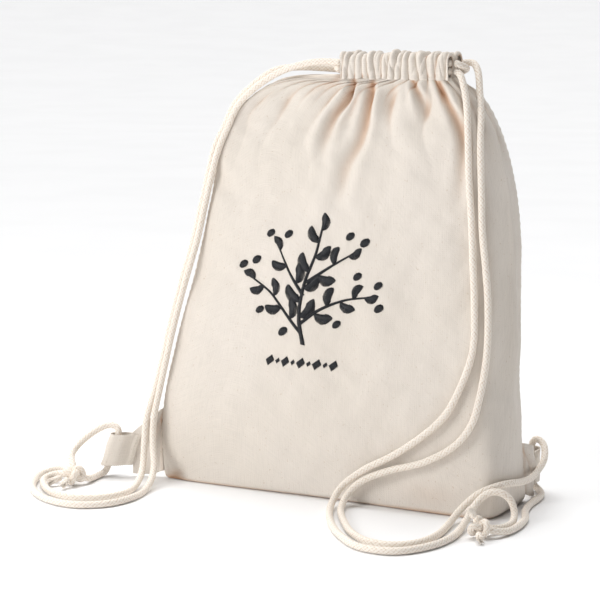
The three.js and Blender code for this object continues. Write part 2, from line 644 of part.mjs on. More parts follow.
const strands = [
  ['left', 'front', LEFT_FRONT_ROUTE, LEFT_LEAD], ['left', 'back', LEFT_BACK_ROUTE, LEFT_LEAD],
  ['right', 'front', RIGHT_FRONT_ROUTE, RIGHT_LEAD], ['right', 'back', RIGHT_BACK_ROUTE, RIGHT_LEAD],
];
for (const [side, ply, route, lead] of strands) {
  add(`${side}_${ply}_lead`, cordTube(route, 0, lead), rope());
  add(`${side}_${ply}_strap`, cordTube(route, lead + EXIT_GAP), rope());
}
add('left_tab_cord', cordTube(LEFT_LOOP_ROUTE), rope());
add('left_knot', knotGeometry(LEFT_KNOT), rope());
add('right_knot', knotGeometry(RIGHT_KNOT), rope());
LEFT_TAILS.forEach((route, k) => add(`left_tail_${k + 1}`, cordTube(route), rope()));
RIGHT_TAILS.forEach((route, k) => add(`right_tail_${k + 1}`, cordTube(route), rope()));

const ovalWidth = (v) => MOTIF_HALF_WIDTH * Math.sqrt(1 - (v * MOTIF_END_SHARE) ** 2);
add('embroidered_motif', patchGeometry(MOTIF_CENTRE, MOTIF_HALF_HEIGHT, ovalWidth, 12, 12), blackThread());
const barWidth = () => BAR_HALF_WIDTH;
add('embroidered_bar', patchGeometry(BAR_CENTRE, BAR_HALF_HEIGHT, barWidth, 2, 10), blackThread());

export default bag;
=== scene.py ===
"""A gathered cotton drawstring backpack standing filled on a pale floor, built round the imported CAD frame.

Metres, +Z up, the embroidered front faces -Y. The fabric is lofted from the bag's corner guides and gathered,
the cords are braided tubes on the CAD's routes with their sharp turns relaxed a little, and every stitch is a
thread of its own.
"""

import math

import bmesh
import bpy
import numpy as np
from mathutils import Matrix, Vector
from mathutils.bvhtree import BVHTree


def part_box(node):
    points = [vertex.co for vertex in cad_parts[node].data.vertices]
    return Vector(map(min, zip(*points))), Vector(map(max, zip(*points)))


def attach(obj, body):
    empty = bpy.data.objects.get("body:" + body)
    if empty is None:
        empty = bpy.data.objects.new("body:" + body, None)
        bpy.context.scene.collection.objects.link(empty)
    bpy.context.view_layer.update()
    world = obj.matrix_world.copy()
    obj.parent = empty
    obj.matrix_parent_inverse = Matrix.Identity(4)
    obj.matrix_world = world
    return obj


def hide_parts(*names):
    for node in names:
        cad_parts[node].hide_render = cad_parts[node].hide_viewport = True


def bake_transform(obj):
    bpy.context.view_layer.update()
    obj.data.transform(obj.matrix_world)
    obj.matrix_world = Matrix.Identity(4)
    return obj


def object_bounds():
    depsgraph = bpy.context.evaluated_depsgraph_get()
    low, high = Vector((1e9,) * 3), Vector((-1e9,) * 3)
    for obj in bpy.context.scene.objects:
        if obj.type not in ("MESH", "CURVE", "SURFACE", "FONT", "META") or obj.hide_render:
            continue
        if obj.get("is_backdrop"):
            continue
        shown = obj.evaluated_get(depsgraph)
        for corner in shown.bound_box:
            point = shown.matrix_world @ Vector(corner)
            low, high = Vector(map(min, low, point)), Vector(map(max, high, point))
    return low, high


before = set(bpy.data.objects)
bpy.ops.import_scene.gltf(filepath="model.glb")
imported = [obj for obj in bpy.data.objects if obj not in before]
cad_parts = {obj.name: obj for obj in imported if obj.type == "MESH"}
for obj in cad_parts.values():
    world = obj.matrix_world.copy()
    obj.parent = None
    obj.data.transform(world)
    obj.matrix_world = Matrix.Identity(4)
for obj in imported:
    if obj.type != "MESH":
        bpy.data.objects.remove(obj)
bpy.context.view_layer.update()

# ---- Driving dimensions, in metres ----
CORD = 0.0064                 # cord diameter
CLOTH = 0.0011                # canvas thickness
HEM_X = (-0.016, 0.091)       # ends of the gathered hems
HEM_Z = (0.380, 0.401)        # lower and upper edge of the hems
FRONT_HEM_Y = 0.014           # outer face of the front hem
BACK_HEM_Y = 0.044            # outer face of the back hem
HEM_DEPTH = 0.0115
BASE_RADIUS = 0.007           # rounding where a panel turns under the bag
BASE_SEAM_BOW = 0.014
BASE_SEAM_INSET = 0.07
CORNER_PULL = 0.414
BACK_BELLY = 0.002
FLOOR_GAP = 0.0004            # the lowest cloth above the floor
SEAM_SPLIT = 0.0004           # half the gap between the two panels at the bottom seam
ROPE_GAP = 0.0002             # a lying rope above the floor
GUIDES = 16                   # guide points round the bag's outline
RUFFLE_HEIGHT = 0.0046        # how far a hem's gathers stand out
RUFFLE_SINK = 0.0014          # and how far they reach in
LOWEST_LEVEL = 0.0175         # where the walls start above the rounded base, as a share of the height

# Corner guides of the stuffed bag, from the floor to the hems.
FRONT_LEFT = [
    (-0.181, -0.042, 0), (-0.188, -0.037, 0.060), (-0.181, -0.027, 0.125), (-0.164, -0.015, 0.200),
    (-0.152, -0.003, 0.270), (-0.141, 0.007, 0.330), (-0.096, 0.014, 0.372), (-0.016, 0.014, 0.380),
]
FRONT_RIGHT = [
    (0.162, -0.046, 0), (0.157, -0.038, 0.060), (0.153, -0.028, 0.125), (0.149, -0.016, 0.200),
    (0.139, -0.005, 0.270), (0.122, 0.005, 0.330), (0.107, 0.011, 0.364), (0.091, 0.014, 0.380),
]
BACK_RIGHT = [
    (0.165, 0.038, 0), (0.162, 0.040, 0.060), (0.160, 0.041, 0.125), (0.160, 0.042, 0.200),
    (0.156, 0.043, 0.270), (0.138, 0.0435, 0.330), (0.116, 0.044, 0.364), (0.091, 0.044, 0.380),
]
BACK_LEFT = [
    (-0.156, 0.024, 0), (-0.164, 0.030, 0.060), (-0.159, 0.034, 0.125), (-0.150, 0.038, 0.200),
    (-0.140, 0.041, 0.270), (-0.131, 0.043, 0.330), (-0.088, 0.044, 0.372), (-0.016, 0.044, 0.380),
]
CORNER_ROUNDING = [0.012, 0.018, 0.022, 0.022, 0.020, 0.014, 0.009, 0.006]
FRONT_BELLY = [0, 0.006, 0.009, 0.009, 0.006, 0.003, 0.001, 0]
SIDE_BELLY = [0, 0.003, 0.004, 0.004, 0.003, 0.002, 0, 0]

# ---- Cord routes, in metres ----
LEFT_FRONT_ROUTE = [
    (-0.018, 0.01975, 0.3944), (-0.022, 0.01975, 0.3944), (-0.037, 0.018, 0.395),
    (-0.057, 0.015, 0.392), (-0.08, 0.012, 0.384), (-0.103, 0.0085, 0.3695),
    (-0.119, 0.006, 0.3535), (-0.1295, 0.004, 0.3315), (-0.1365, 0.0005, 0.3135),
    (-0.143, -0.0035, 0.2855), (-0.1475, -0.008, 0.259), (-0.1525, -0.0135, 0.228),
    (-0.162, -0.02, 0.189), (-0.171, -0.026, 0.149), (-0.177, -0.0315, 0.115),
    (-0.182, -0.037, 0.0835), (-0.183, -0.046, 0.058), (-0.18, -0.053, 0.038),
    (-0.17, -0.068, 0.015), (-0.161, -0.097, 0.0036), (-0.157, -0.132, 0.0034),
    (-0.166, -0.158, 0.0034), (-0.19, -0.173, 0.0034), (-0.221, -0.168, 0.0034),
    (-0.253, -0.145, 0.0034), (-0.27, -0.12, 0.0035), (-0.277, -0.097, 0.0055),
    (-0.268, -0.082, 0.008), (-0.255, -0.086, 0.0095), (-0.2455, -0.095, 0.01),
]
LEFT_BACK_ROUTE = [
    (-0.018, 0.03825, 0.3874), (-0.022, 0.03825, 0.3874), (-0.038, 0.034, 0.3885),
    (-0.06, 0.025, 0.3895), (-0.084, 0.018, 0.387), (-0.108, 0.014, 0.372),
    (-0.125, 0.0105, 0.354), (-0.1355, 0.0085, 0.332), (-0.1432, 0.0046, 0.314),
    (-0.149, 0.001, 0.286), (-0.1535, -0.0035, 0.2595), (-0.1585, -0.009, 0.2285),
    (-0.168, -0.0155, 0.1895), (-0.177, -0.0215, 0.1495), (-0.183, -0.027, 0.1155),
    (-0.1885, -0.034, 0.084), (-0.1905, -0.047, 0.058), (-0.1875, -0.056, 0.036),
    (-0.182, -0.069, 0.014), (-0.174, -0.096, 0.004), (-0.172, -0.122, 0.0034),
    (-0.183, -0.142, 0.0034), (-0.206, -0.153, 0.0034), (-0.233, -0.145, 0.0034),
    (-0.254, -0.127, 0.004), (-0.2645, -0.11, 0.0055), (-0.259, -0.101, 0.008),
    (-0.2475, -0.102, 0.0095),
]
LEFT_LOOP_ROUTE = [
    (-0.242, -0.096, 0.018), (-0.25, -0.087, 0.024), (-0.249, -0.074, 0.033),
    (-0.24, -0.062, 0.043), (-0.228, -0.054, 0.0495), (-0.2186, -0.0518, 0.047),
    (-0.2186, -0.0531, 0.04), (-0.2231, -0.055, 0.026), (-0.227, -0.0567, 0.014),
    (-0.2286, -0.058, 0.0065), (-0.2294, -0.061, 0.0038), (-0.2306, -0.067, 0.0034),
    (-0.229, -0.082, 0.0036), (-0.227, -0.095, 0.006),
]
RIGHT_FRONT_ROUTE = [
    (0.093, 0.01975, 0.3874), (0.097, 0.01975, 0.3874), (0.1005, 0.0175, 0.384),
    (0.105, 0.014, 0.374), (0.11, 0.009, 0.357), (0.1145, 0.002, 0.327), (0.1185, -0.0047, 0.294),
    (0.1235, -0.0104, 0.26), (0.1275, -0.016, 0.225), (0.1315, -0.0213, 0.19),
    (0.1338, -0.0283, 0.147), (0.126, -0.0353, 0.116), (0.1135, -0.0415, 0.089),
    (0.096, -0.046, 0.071), (0.0685, -0.049, 0.0505), (0.0385, -0.0505, 0.0335),
    (0.019, -0.054, 0.017), (0.0165, -0.066, 0.007), (0.024, -0.088, 0.0036),
    (0.042, -0.122, 0.0034), (0.067, -0.155, 0.0034), (0.097, -0.179, 0.0034),
    (0.126, -0.178, 0.0034), (0.145, -0.154, 0.0034), (0.1525, -0.12, 0.0034),
    (0.15, -0.09, 0.0045), (0.1485, -0.07, 0.0095), (0.1525, -0.057, 0.021),
    (0.1615, -0.0515, 0.0285), (0.171, -0.0465, 0.027), (0.1775, -0.042, 0.019),
    (0.18, -0.042, 0.01), (0.182, -0.051, 0.004), (0.182, -0.065, 0.0036),
    (0.1785, -0.078, 0.0045), (0.1745, -0.089, 0.007),
]
RIGHT_BACK_ROUTE = [
    (0.093, 0.03825, 0.3944), (0.097, 0.03825, 0.3944), (0.1035, 0.0382, 0.3955),
    (0.1105, 0.033, 0.388), (0.1155, 0.0255, 0.37), (0.1214, 0.0144, 0.347), (0.124, 0.007, 0.327),
    (0.1296, -0.003, 0.283), (0.1333, -0.0092, 0.25), (0.1385, -0.0137, 0.22),
    (0.1427, -0.0174, 0.19), (0.1455, -0.0245, 0.147), (0.1444, -0.03, 0.121),
    (0.1425, -0.0345, 0.104), (0.1385, -0.0395, 0.084), (0.1258, -0.0445, 0.065),
    (0.098, -0.0495, 0.0473), (0.0615, -0.051, 0.0352), (0.036, -0.0525, 0.0225),
    (0.0255, -0.057, 0.01), (0.027, -0.07, 0.004), (0.036, -0.09, 0.0034), (0.052, -0.116, 0.0034),
    (0.072, -0.143, 0.0034), (0.095, -0.161, 0.0034), (0.118, -0.162, 0.0034),
    (0.134, -0.146, 0.0034), (0.139, -0.118, 0.0034), (0.136, -0.088, 0.0036),
    (0.134, -0.066, 0.0065), (0.139, -0.0545, 0.015), (0.1495, -0.0485, 0.025),
    (0.1605, -0.04, 0.03), (0.1675, -0.022, 0.03), (0.169, 0.002, 0.026), (0.1695, 0.024, 0.024),
    (0.1695, 0.041, 0.026), (0.171, 0.058, 0.035), (0.164, 0.073, 0.047), (0.155, 0.075, 0.05),
    (0.1529, 0.0734, 0.042), (0.1532, 0.0731, 0.03), (0.1534, 0.0734, 0.018),
    (0.1539, 0.0736, 0.01), (0.1556, 0.0736, 0.0052), (0.1605, 0.0716, 0.0034),
    (0.1715, 0.05, 0.0034), (0.1735, 0.016, 0.0034), (0.178, -0.01, 0.0034),
    (0.187, -0.034, 0.0034), (0.19, -0.06, 0.0034), (0.188, -0.082, 0.004),
    (0.1815, -0.095, 0.007),
]
LEFT_TAILS = [
    [(-0.246, -0.1095, 0.008), (-0.2505, -0.115, 0.006), (-0.255, -0.119, 0.0038)],
    [(-0.236, -0.113, 0.008), (-0.236, -0.119, 0.006), (-0.234, -0.124, 0.0038)],
]
RIGHT_TAILS = [
    [(0.167, -0.103, 0.0185), (0.165, -0.105, 0.023), (0.162, -0.106, 0.027)],
    [(0.173, -0.1085, 0.007), (0.176, -0.114, 0.005), (0.179, -0.119, 0.0038)],
]
FRONT_RUN_Y = FRONT_HEM_Y + HEM_DEPTH / 2
BACK_RUN_Y = BACK_HEM_Y - HEM_DEPTH / 2
UPPER_RUN_Z = 0.3944
LOWER_RUN_Z = 0.3874
LEFT_KNOT = (-0.236, -0.103, 0.0098)
RIGHT_KNOT = (0.170, -0.099, 0.0098)


# ---- Camera and light ----
CAMERA_HEADING, CAMERA_PITCH = math.radians(27.09), math.radians(8.484)
CAMERA_PLACE = (0.7206, -1.5074, 0.4276)
CAMERA_LENS = 110.4
SKY, KEY, OVERHEAD = 0.10, 23.0, 2.95       # strength of the world, the key light and the overhead light
FLOOR_FLAT, FLOOR_RADIUS, FLOOR_RISE = 6, 26, 0.0125


def add_camera():
    """The photograph's view: from the right of the front, a little above."""
    level = math.cos(CAMERA_PITCH)
    look = Vector((-math.sin(CAMERA_HEADING) * level, math.cos(CAMERA_HEADING) * level,
                   -math.sin(CAMERA_PITCH)))
    data = bpy.data.cameras.new("camera")
    data.lens = CAMERA_LENS
    data.sensor_width = 36
    camera = bpy.data.objects.new("camera", data)
    camera.location = CAMERA_PLACE
    camera.rotation_euler = look.to_track_quat("-Z", "Y").to_euler()
    bpy.context.scene.collection.objects.link(camera)
    bpy.context.scene.camera = camera


def add_area(name, location, target, size, power, colour):
    data = bpy.data.lights.new(name, "AREA")
    data.shape = "RECTANGLE"
    data.size, data.size_y = size
    data.energy = power
    data.color = colour
    lamp = bpy.data.objects.new(name, data)
    lamp.location = location
    lamp.rotation_euler = (Vector(target) - Vector(location)).to_track_quat("-Z", "Y").to_euler()
    bpy.context.scene.collection.objects.link(lamp)


def add_studio():
    """A white studio: light from nearly above on a pale dish of a floor, and a soft key at the front left."""
    world = bpy.data.worlds.new("studio")
    world.use_nodes = True
    background = world.node_tree.nodes["Background"]
    background.inputs["Color"].default_value = (0.99, 0.995, 1.0, 1)
    background.inputs["Strength"].default_value = SKY
    bpy.context.scene.world = world
    add_area("key", (-1.15, -1.50, 1.05), (-0.02, 0, 0.2), (1.0, 1.0), KEY, (1.0, 0.99, 0.975))
    data = bpy.data.lights.new("overhead", "SUN")
    data.energy = OVERHEAD
    data.angle = math.radians(50)
    overhead = bpy.data.objects.new("overhead", data)
    overhead.rotation_euler = (math.radians(-14), math.radians(-12), 0)
    bpy.context.scene.collection.objects.link(overhead)
    bpy.context.scene.view_settings.view_transform = "Standard"
    radii = np.concatenate([np.linspace(0.01, 5, 12), np.linspace(FLOOR_FLAT, FLOOR_RADIUS, 24)])
    turn = np.linspace(0, 2 * np.pi, 64, endpoint=False)
    rise = np.where(radii > FLOOR_FLAT, (radii - FLOOR_FLAT) ** 2 * FLOOR_RISE, 0)
    dish = np.stack([radii[:, None] * np.cos(turn), radii[:, None] * np.sin(turn),
                     rise[:, None] + 0 * turn[None, :]], axis=-1)
    floor = grid_mesh("floor", dish, wrap=True, flip=True)
    close_ends(floor.data, len(radii), len(turn), both=False)
    floor.data.materials.append(floor_material())
    floor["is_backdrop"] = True


# ---- Curves ----
def curve_at(points, t, closed=False):
    """Points of a centripetal Catmull-Rom curve through the given ones, at parameters from 0 to 1."""
    points = np.asarray(points, float)
    t = np.atleast_1d(np.asarray(t, float))
    count = len(points)
    spans = count if closed else count - 1
    place = np.clip(t, 0, 1) * spans
    if closed:
        place = place % spans
    index = np.minimum(np.floor(place).astype(int), spans - 1)
    w = (place - index)[:, None]
    if closed:
        p0, p1, p2, p3 = (points[(index + k) % count] for k in (-1, 0, 1, 2))
    else:
        padded = np.vstack([2 * points[0] - points[1], points, 2 * points[-1] - points[-2]])
        p0, p1, p2, p3 = (padded[index + k] for k in (0, 1, 2, 3))
    d0, d1, d2 = (np.maximum(np.linalg.norm(b - a, axis=1, keepdims=True), 1e-9) ** 0.5
                  for a, b in ((p0, p1), (p1, p2), (p2, p3)))
    t1 = ((p1 - p0) / d0 - (p2 - p0) / (d0 + d1) + (p2 - p1) / d1) * d1
    t2 = ((p2 - p1) / d1 - (p3 - p1) / (d1 + d2) + (p3 - p2) / d2) * d1
    return (p1 + t1 * w + (-3 * p1 + 3 * p2 - 2 * t1 - t2) * w ** 2
            + (2 * p1 - 2 * p2 + t1 + t2) * w ** 3)


def length_along(path):
    """The length of a path up to each of its points."""
    return np.concatenate([[0], np.cumsum(np.linalg.norm(np.diff(path, axis=0), axis=1))])


def even_path(points, step):
    """The same curve as points an even step apart, with its length."""
    dense = curve_at(points, np.linspace(0, 1, 60 * len(points)))
    along = length_along(dense)
    count = max(3, int(round(along[-1] / step)) + 1)
    at = np.linspace(0, along[-1], count)
    return np.stack([np.interp(at, along, dense[:, k]) for k in range(3)], axis=1), float(along[-1])


def eased_path(points, step, ease):
    """An even path whose sharp turns are relaxed, as a soft rope's are, with its ends kept in place."""
    path, _ = even_path(points, step)
    reach = int(3 * ease / step)
    weights = np.exp(-0.5 * (np.arange(-reach, reach + 1) * step / ease) ** 2)
    weights /= weights.sum()
    before = 2 * path[0] - path[reach:0:-1]
    after = 2 * path[-1] - path[-2:-reach - 2:-1]
    padded = np.vstack([before, path, after])
    soft = np.stack([np.convolve(padded[:, k], weights, mode="valid") for k in range(3)], axis=1)
    soft[:, 2] = np.maximum(soft[:, 2], np.minimum(path[:, 2], CORD / 2 + ROPE_GAP))
    return soft, float(np.linalg.norm(np.diff(soft, axis=0), axis=1).sum())


def unit(v):
    return v / np.maximum(np.linalg.norm(v, axis=-1, keepdims=True), 1e-12)


def frames_along(path):
    """Tangents and two cross directions that turn as little as they can along a path."""
    tangents = unit(np.gradient(path, axis=0))
    first = np.cross(tangents[0], (0.3, 0.2, 1.0))
    side = unit(first)
    sides = np.empty_like(path)
    for k, tangent in enumerate(tangents):
        side = unit(side - tangent * np.dot(side, tangent))
        sides[k] = side
    return tangents, sides, np.cross(tangents, sides)


# ---- Mesh making ----
def link(mesh, name):
    piece = bpy.data.objects.new(name, mesh)
    bpy.context.scene.collection.objects.link(piece)
    return piece


def mesh_from(name, points, faces, smooth=True):
    mesh = bpy.data.meshes.new(name)
    mesh.from_pydata([tuple(p) for p in points], [], [tuple(f) for f in faces])
    mesh.validate()
    mesh.update()
    mesh.shade_smooth() if smooth else mesh.shade_flat()
    return link(mesh, name)


def grid_faces(rows, cols, wrap=False, start=0):
    r, c = np.meshgrid(np.arange(rows - 1), np.arange(cols if wrap else cols - 1), indexing="ij")
    a = r * cols + c
    b = r * cols + (c + 1) % cols
    return np.stack([a, b, b + cols, a + cols], axis=-1).reshape(-1, 4) + start


def grid_mesh(name, grid, wrap=False, flip=False, uv=None, **attributes):
    """A sheet through a grid of points, with a UV map and named values per point."""
    rows, cols = grid.shape[:2]
    faces = grid_faces(rows, cols, wrap)
    if flip:
        faces = faces[:, ::-1]
    mesh = bpy.data.meshes.new(name)
    mesh.vertices.add(rows * cols)
    mesh.vertices.foreach_set("co", grid.reshape(-1).astype(np.float32))
    mesh.loops.add(len(faces) * 4)
    mesh.loops.foreach_set("vertex_index", faces.reshape(-1).astype(np.int32))
    mesh.polygons.add(len(faces))
    mesh.polygons.foreach_set("loop_start", np.arange(0, len(faces) * 4, 4, dtype=np.int32))
    mesh.polygons.foreach_set("loop_total", np.full(len(faces), 4, dtype=np.int32))
    mesh.update(calc_edges=True)
    if uv is not None:
        layer = mesh.uv_layers.new(name="cloth")
        layer.data.foreach_set("uv", uv.reshape(-1, 2)[faces.reshape(-1)].reshape(-1).astype(np.float32))
    for key, values in attributes.items():
        store_value(mesh, key, values.reshape(-1))
    mesh.shade_smooth()
    return link(mesh, name)


def store_value(mesh, key, values):
    attribute = mesh.attributes.new(key, "FLOAT", "POINT")
    attribute.data.foreach_set("value", np.asarray(values, np.float32))


def close_ends(mesh, rings, sides, both=True):
    """Caps the first and last ring of a tube."""
    work = bmesh.new()
    work.from_mesh(mesh)
    work.verts.ensure_lookup_table()
    work.faces.new([work.verts[k] for k in range(sides)])
    if both:
        work.faces.new([work.verts[(rings - 1) * sides + k] for k in range(sides)][::-1])
    bmesh.ops.recalc_face_normals(work, faces=work.faces)
    work.to_mesh(mesh)
    work.free()
    mesh.shade_smooth()


def dress(piece, material, body, slot, *nodes):
    """Gives a piece its material and its body, and hides the CAD nodes that it replaces; the slot is not
    used.
    """
    piece.data.materials.append(material)
    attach(piece, body)
    if nodes:
        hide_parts(*nodes)
    return piece


def thicken(piece, thickness, offset=-1.0):
    solid = piece.modifiers.new("cloth thickness", "SOLIDIFY")
    solid.thickness = thickness
    solid.offset = offset
    solid.use_even_offset = False
    solid.use_quality_normals = True


def thread_tube(path, radius, sides=4):
    """Points and faces of a thin closed thread along a path."""
    path = np.asarray(path, float)
    radius = np.broadcast_to(radius, len(path))
    _, side, up = frames_along(path)
    turn = 2 * np.pi * np.arange(sides) / sides
    rings = (path[:, None] + radius[:, None, None]
             * (np.cos(turn)[None, :, None] * side[:, None] + np.sin(turn)[None, :, None] * up[:, None]))
    faces = [list(f) for f in grid_faces(len(path), sides, wrap=True)]
    points = np.vstack([rings.reshape(-1, 3), path[:1], path[-1:]])
    first, last, base = len(points) - 2, len(points) - 1, (len(path) - 1) * sides
    for k in range(sides):
        n = (k + 1) % sides
        faces.append([first, n, k, k])
        faces.append([last, base + k, base + n, base + n])
    return points, [f if f[2] != f[3] else f[:3] for f in faces]


def merge_threads(name, threads):
    points, faces, start = [], [], 0
    for piece_points, piece_faces in threads:
        points.append(piece_points)
        faces.extend([[i + start for i in f] for f in piece_faces])
        start += len(piece_points)
    return mesh_from(name, np.vstack(points), faces)


# ---- Materials ----
class Nodes:
    """A small helper to lay out a material's nodes."""

    def __init__(self, name):
        self.material = bpy.data.materials.new(name)
        self.material.use_nodes = True
        self.tree = self.material.node_tree
        self.shader = self.tree.nodes["Principled BSDF"]

    def add(self, kind, **settings):
        node = self.tree.nodes.new(kind)
        for key, value in settings.items():
            if key in node.inputs:
                node.inputs[key].default_value = value
            else:
                setattr(node, key, value)
        return node

    def join(self, source, target):
        self.tree.links.new(source, target)

    def math(self, operation, a, b=0.0):
        node = self.add("ShaderNodeMath", operation=operation)
        for socket, value in zip(node.inputs, (a, b)):
            if hasattr(value, "links"):
                self.join(value, socket)
            else:
                socket.default_value = value
        return node.outputs[0]

    def mix(self, factor, a, b, blend="MIX"):
        node = self.add("ShaderNodeMix", data_type="RGBA", blend_type=blend)
        for socket, value in ((node.inputs[0], factor), (node.inputs[6], a), (node.inputs[7], b)):
            if hasattr(value, "links"):
                self.join(value, socket)
            else:
                socket.default_value = value if isinstance(value, float) else (*value, 1)
        return node.outputs[2]

    def ramp(self, value, low, high, out_low=0.0, out_high=1.0):
        node = self.add("ShaderNodeMapRange", interpolation_type="SMOOTHSTEP")
        self.join(value, node.inputs[0])
        for k, number in enumerate((low, high, out_low, out_high)):
            node.inputs[1 + k].default_value = number
        return node.outputs[0]

    def noise(self, vector, scale, detail=3.0, roughness=0.55):
        node = self.add("ShaderNodeTexNoise", Scale=scale, Detail=detail, Roughness=roughness)
        self.join(vector, node.inputs["Vector"])
        return node.outputs["Fac"]

    def stretched(self, vector, scale):
        node = self.add("ShaderNodeMapping")
        node.inputs["Scale"].default_value = scale
        self.join(vector, node.inputs["Vector"])
        return node.outputs[0]

    def wave(self, vector, scale, direction, distortion=0.0):
        node = self.add("ShaderNodeTexWave", wave_type="BANDS", bands_direction=direction,
                        wave_profile="SIN", Scale=scale, Distortion=distortion)
        node.inputs["Detail"].default_value = 2.0
        node.inputs["Detail Scale"].default_value = 1.5
        self.join(vector, node.inputs["Vector"])
        return node.outputs["Fac"]

    def attribute(self, name):
        return self.add("ShaderNodeAttribute", attribute_name=name, attribute_type="GEOMETRY").outputs["Fac"]

    def bump(self, height, distance, strength=1.0):
        node = self.add("ShaderNodeBump", Distance=distance, Strength=strength)
        self.join(height, node.inputs["Height"])
        self.join(node.outputs[0], self.shader.inputs["Normal"])


def set_cloth(shader, roughness, sheen):
    shader.inputs["Roughness"].default_value = roughness
    shader.inputs["Specular IOR Level"].default_value = 0.25
    shader.inputs["Sheen Weight"].default_value = sheen
    shader.inputs["Sheen Roughness"].default_value = 0.5


WEAVE_SCALE = 0.157           # of a wave texture, times the yarn's width: one wave takes two yarns


def shaded(colour, *share):
    """A colour with each channel multiplied, by one share or by three."""
    return tuple(c * s for c, s in zip(colour, share * 3 if len(share) == 1 else share))


def canvas_material(name="cotton canvas", pitch=0.00085, base=(0.775, 0.71, 0.635)):
    """Unbleached plain-weave cotton: two crossed yarns, slubs, seed flecks, and painted warm shade in the
    folds.
    """
    n = Nodes(name)
    uv = n.add("ShaderNodeUVMap", uv_map="cloth").outputs[0]
    place = n.add("ShaderNodeTexCoord").outputs["Object"]
    weave = n.math("MAXIMUM", *(n.wave(uv, WEAVE_SCALE / pitch, way, 0.6) for way in "XY"))
    slubs = [n.noise(n.stretched(uv, scale), 1.0, 2.0) for scale in ((60, 1400, 1), (1400, 60, 1))]
    slub = n.math("ADD", *slubs)
    soft = n.noise(place, 9.0, 2.0)
    flecks = n.ramp(n.noise(place, 620.0, 1.0, 0.4), 0.70, 0.76)
    colour = n.mix(n.ramp(soft, 0.3, 0.7), base, shaded(base, 1.03, 1.035, 1.05))
    colour = n.mix(n.ramp(slub, 0.85, 1.25, 0.0, 0.24), colour, shaded(base, 0.74))
    colour = n.mix(n.math("MULTIPLY", n.math("SUBTRACT", 1.0, weave), 0.10), colour, shaded(base, 0.6))
    colour = n.mix(n.math("MULTIPLY", flecks, 0.30), colour, (0.42, 0.27, 0.13))
    # Painted shade: darker orange-brown in the folds, pinches, dents, seam grooves and along the bottom edge,
    # from the painted-shade values stored on the mesh.
    colour = n.mix(n.ramp(n.attribute("fold"), 0.1, 1.0, 0.0, 0.75), colour, (0.56, 0.33, 0.19))
    colour = n.mix(n.ramp(n.attribute("fold"), 0.72, 1.0, 0.0, 0.60), colour, (0.36, 0.17, 0.085))
    n.join(colour, n.shader.inputs["Base Color"])
    height = n.math("ADD", n.math("MULTIPLY", weave, 0.7), n.math("MULTIPLY", slub, 0.5))
    n.bump(height, 0.00022, 0.55)
    rough = n.ramp(slub, 0.7, 1.3, 0.86, 0.97)
    set_cloth(n.shader, 0.9, 0.15)
    n.join(rough, n.shader.inputs["Roughness"])
    return n.material


def rope_material(name="cotton rope", base=(0.92, 0.855, 0.775)):
    """Braided cotton: fuzzy yarn on each strand and painted warm shade between the strands."""
    n = Nodes(name)
    uv = n.add("ShaderNodeUVMap", uv_map="cloth").outputs[0]
    yarn = n.wave(uv, 420.0, "DIAGONAL", 1.2)
    fuzz = n.noise(n.add("ShaderNodeTexCoord").outputs["Object"], 1500.0, 2.0)
    groove = n.attribute("groove")
    # Painted shade: darker and warmer where the braid's relief is low, between the strands.
    colour = n.mix(n.ramp(groove, 0.15, 0.85), (0.68, 0.54, 0.41), base)
    colour = n.mix(n.math("MULTIPLY", fuzz, 0.25), colour, tuple(min(1, c * 1.08) for c in base))
    n.join(colour, n.shader.inputs["Base Color"])
    n.bump(n.math("ADD", n.math("MULTIPLY", yarn, 0.5), fuzz), 0.00016, 0.5)
    set_cloth(n.shader, 0.88, 0.25)
    n.join(n.ramp(fuzz, 0.2, 0.8, 0.8, 0.95), n.shader.inputs["Roughness"])
    return n.material


def tape_material():
    """The folded strip at a bottom corner: the bag's canvas, cut narrow, with a slightly closer weave."""
    return canvas_material("cotton strip", 0.00075, (0.78, 0.715, 0.635))


def thread_material(name, dark, light, roughness, sheen):
    """Twisted thread: a fine ply along its length, lighter where it is worn."""
    n = Nodes(name)
    place = n.add("ShaderNodeTexCoord").outputs["Object"]
    ply = n.noise(place, 900.0, 2.0)
    tone = n.noise(place, 45.0, 2.0)
    colour = n.mix(n.ramp(ply, 0.3, 0.7), dark, light)
    colour = n.mix(n.math("MULTIPLY", tone, 0.35), colour, light)
    n.join(colour, n.shader.inputs["Base Color"])
    n.bump(ply, 0.00008, 0.4)
    set_cloth(n.shader, roughness, sheen)
    n.shader.inputs["Specular IOR Level"].default_value = 0.5
    n.join(n.ramp(ply, 0.2, 0.8, roughness - 0.08, roughness + 0.08), n.shader.inputs["Roughness"])
    return n.material


def floor_material():
    n = Nodes("pale floor")
    grain = n.noise(n.add("ShaderNodeTexCoord").outputs["Object"], 3.0, 2.0)
    colour = n.mix(n.ramp(grain, 0.3, 0.7), (0.93, 0.93, 0.935), (0.95, 0.95, 0.955))
    n.join(colour, n.shader.inputs["Base Color"])
    n.shader.inputs["Roughness"].default_value = 0.9
    n.shader.inputs["Specular IOR Level"].default_value = 0.1
    return n.material


# ---- The stuffed outline, as in the CAD ----
def value_at(values, level):
    return np.interp(level * (len(values) - 1), np.arange(len(values)), values)


def outline_points(level):
    """The sixteen guide points of the closed outline at one level."""
    corners = [curve_at(g, level)[0] for g in (FRONT_LEFT, FRONT_RIGHT, BACK_RIGHT, BACK_LEFT)]
    rounding = value_at(CORNER_ROUNDING, level)
    side = value_at(SIDE_BELLY, level)
    bellies = (value_at(FRONT_BELLY, level), side, BACK_BELLY, side)
    points = []
    for k, corner in enumerate(corners):
        after, before = corners[(k + 1) % 4], corners[k - 1]
        ahead, behind = unit(after - corner), unit(before - corner)
        out = unit(np.array([ahead[1], -ahead[0], 0]))
        points.append(corner + unit(ahead + behind) * CORNER_PULL * rounding)
        points.append(corner + ahead * rounding)
        points.append((corner + after) / 2 + out * bellies[k])
        points.append(after - ahead * rounding)
    return np.array(points)


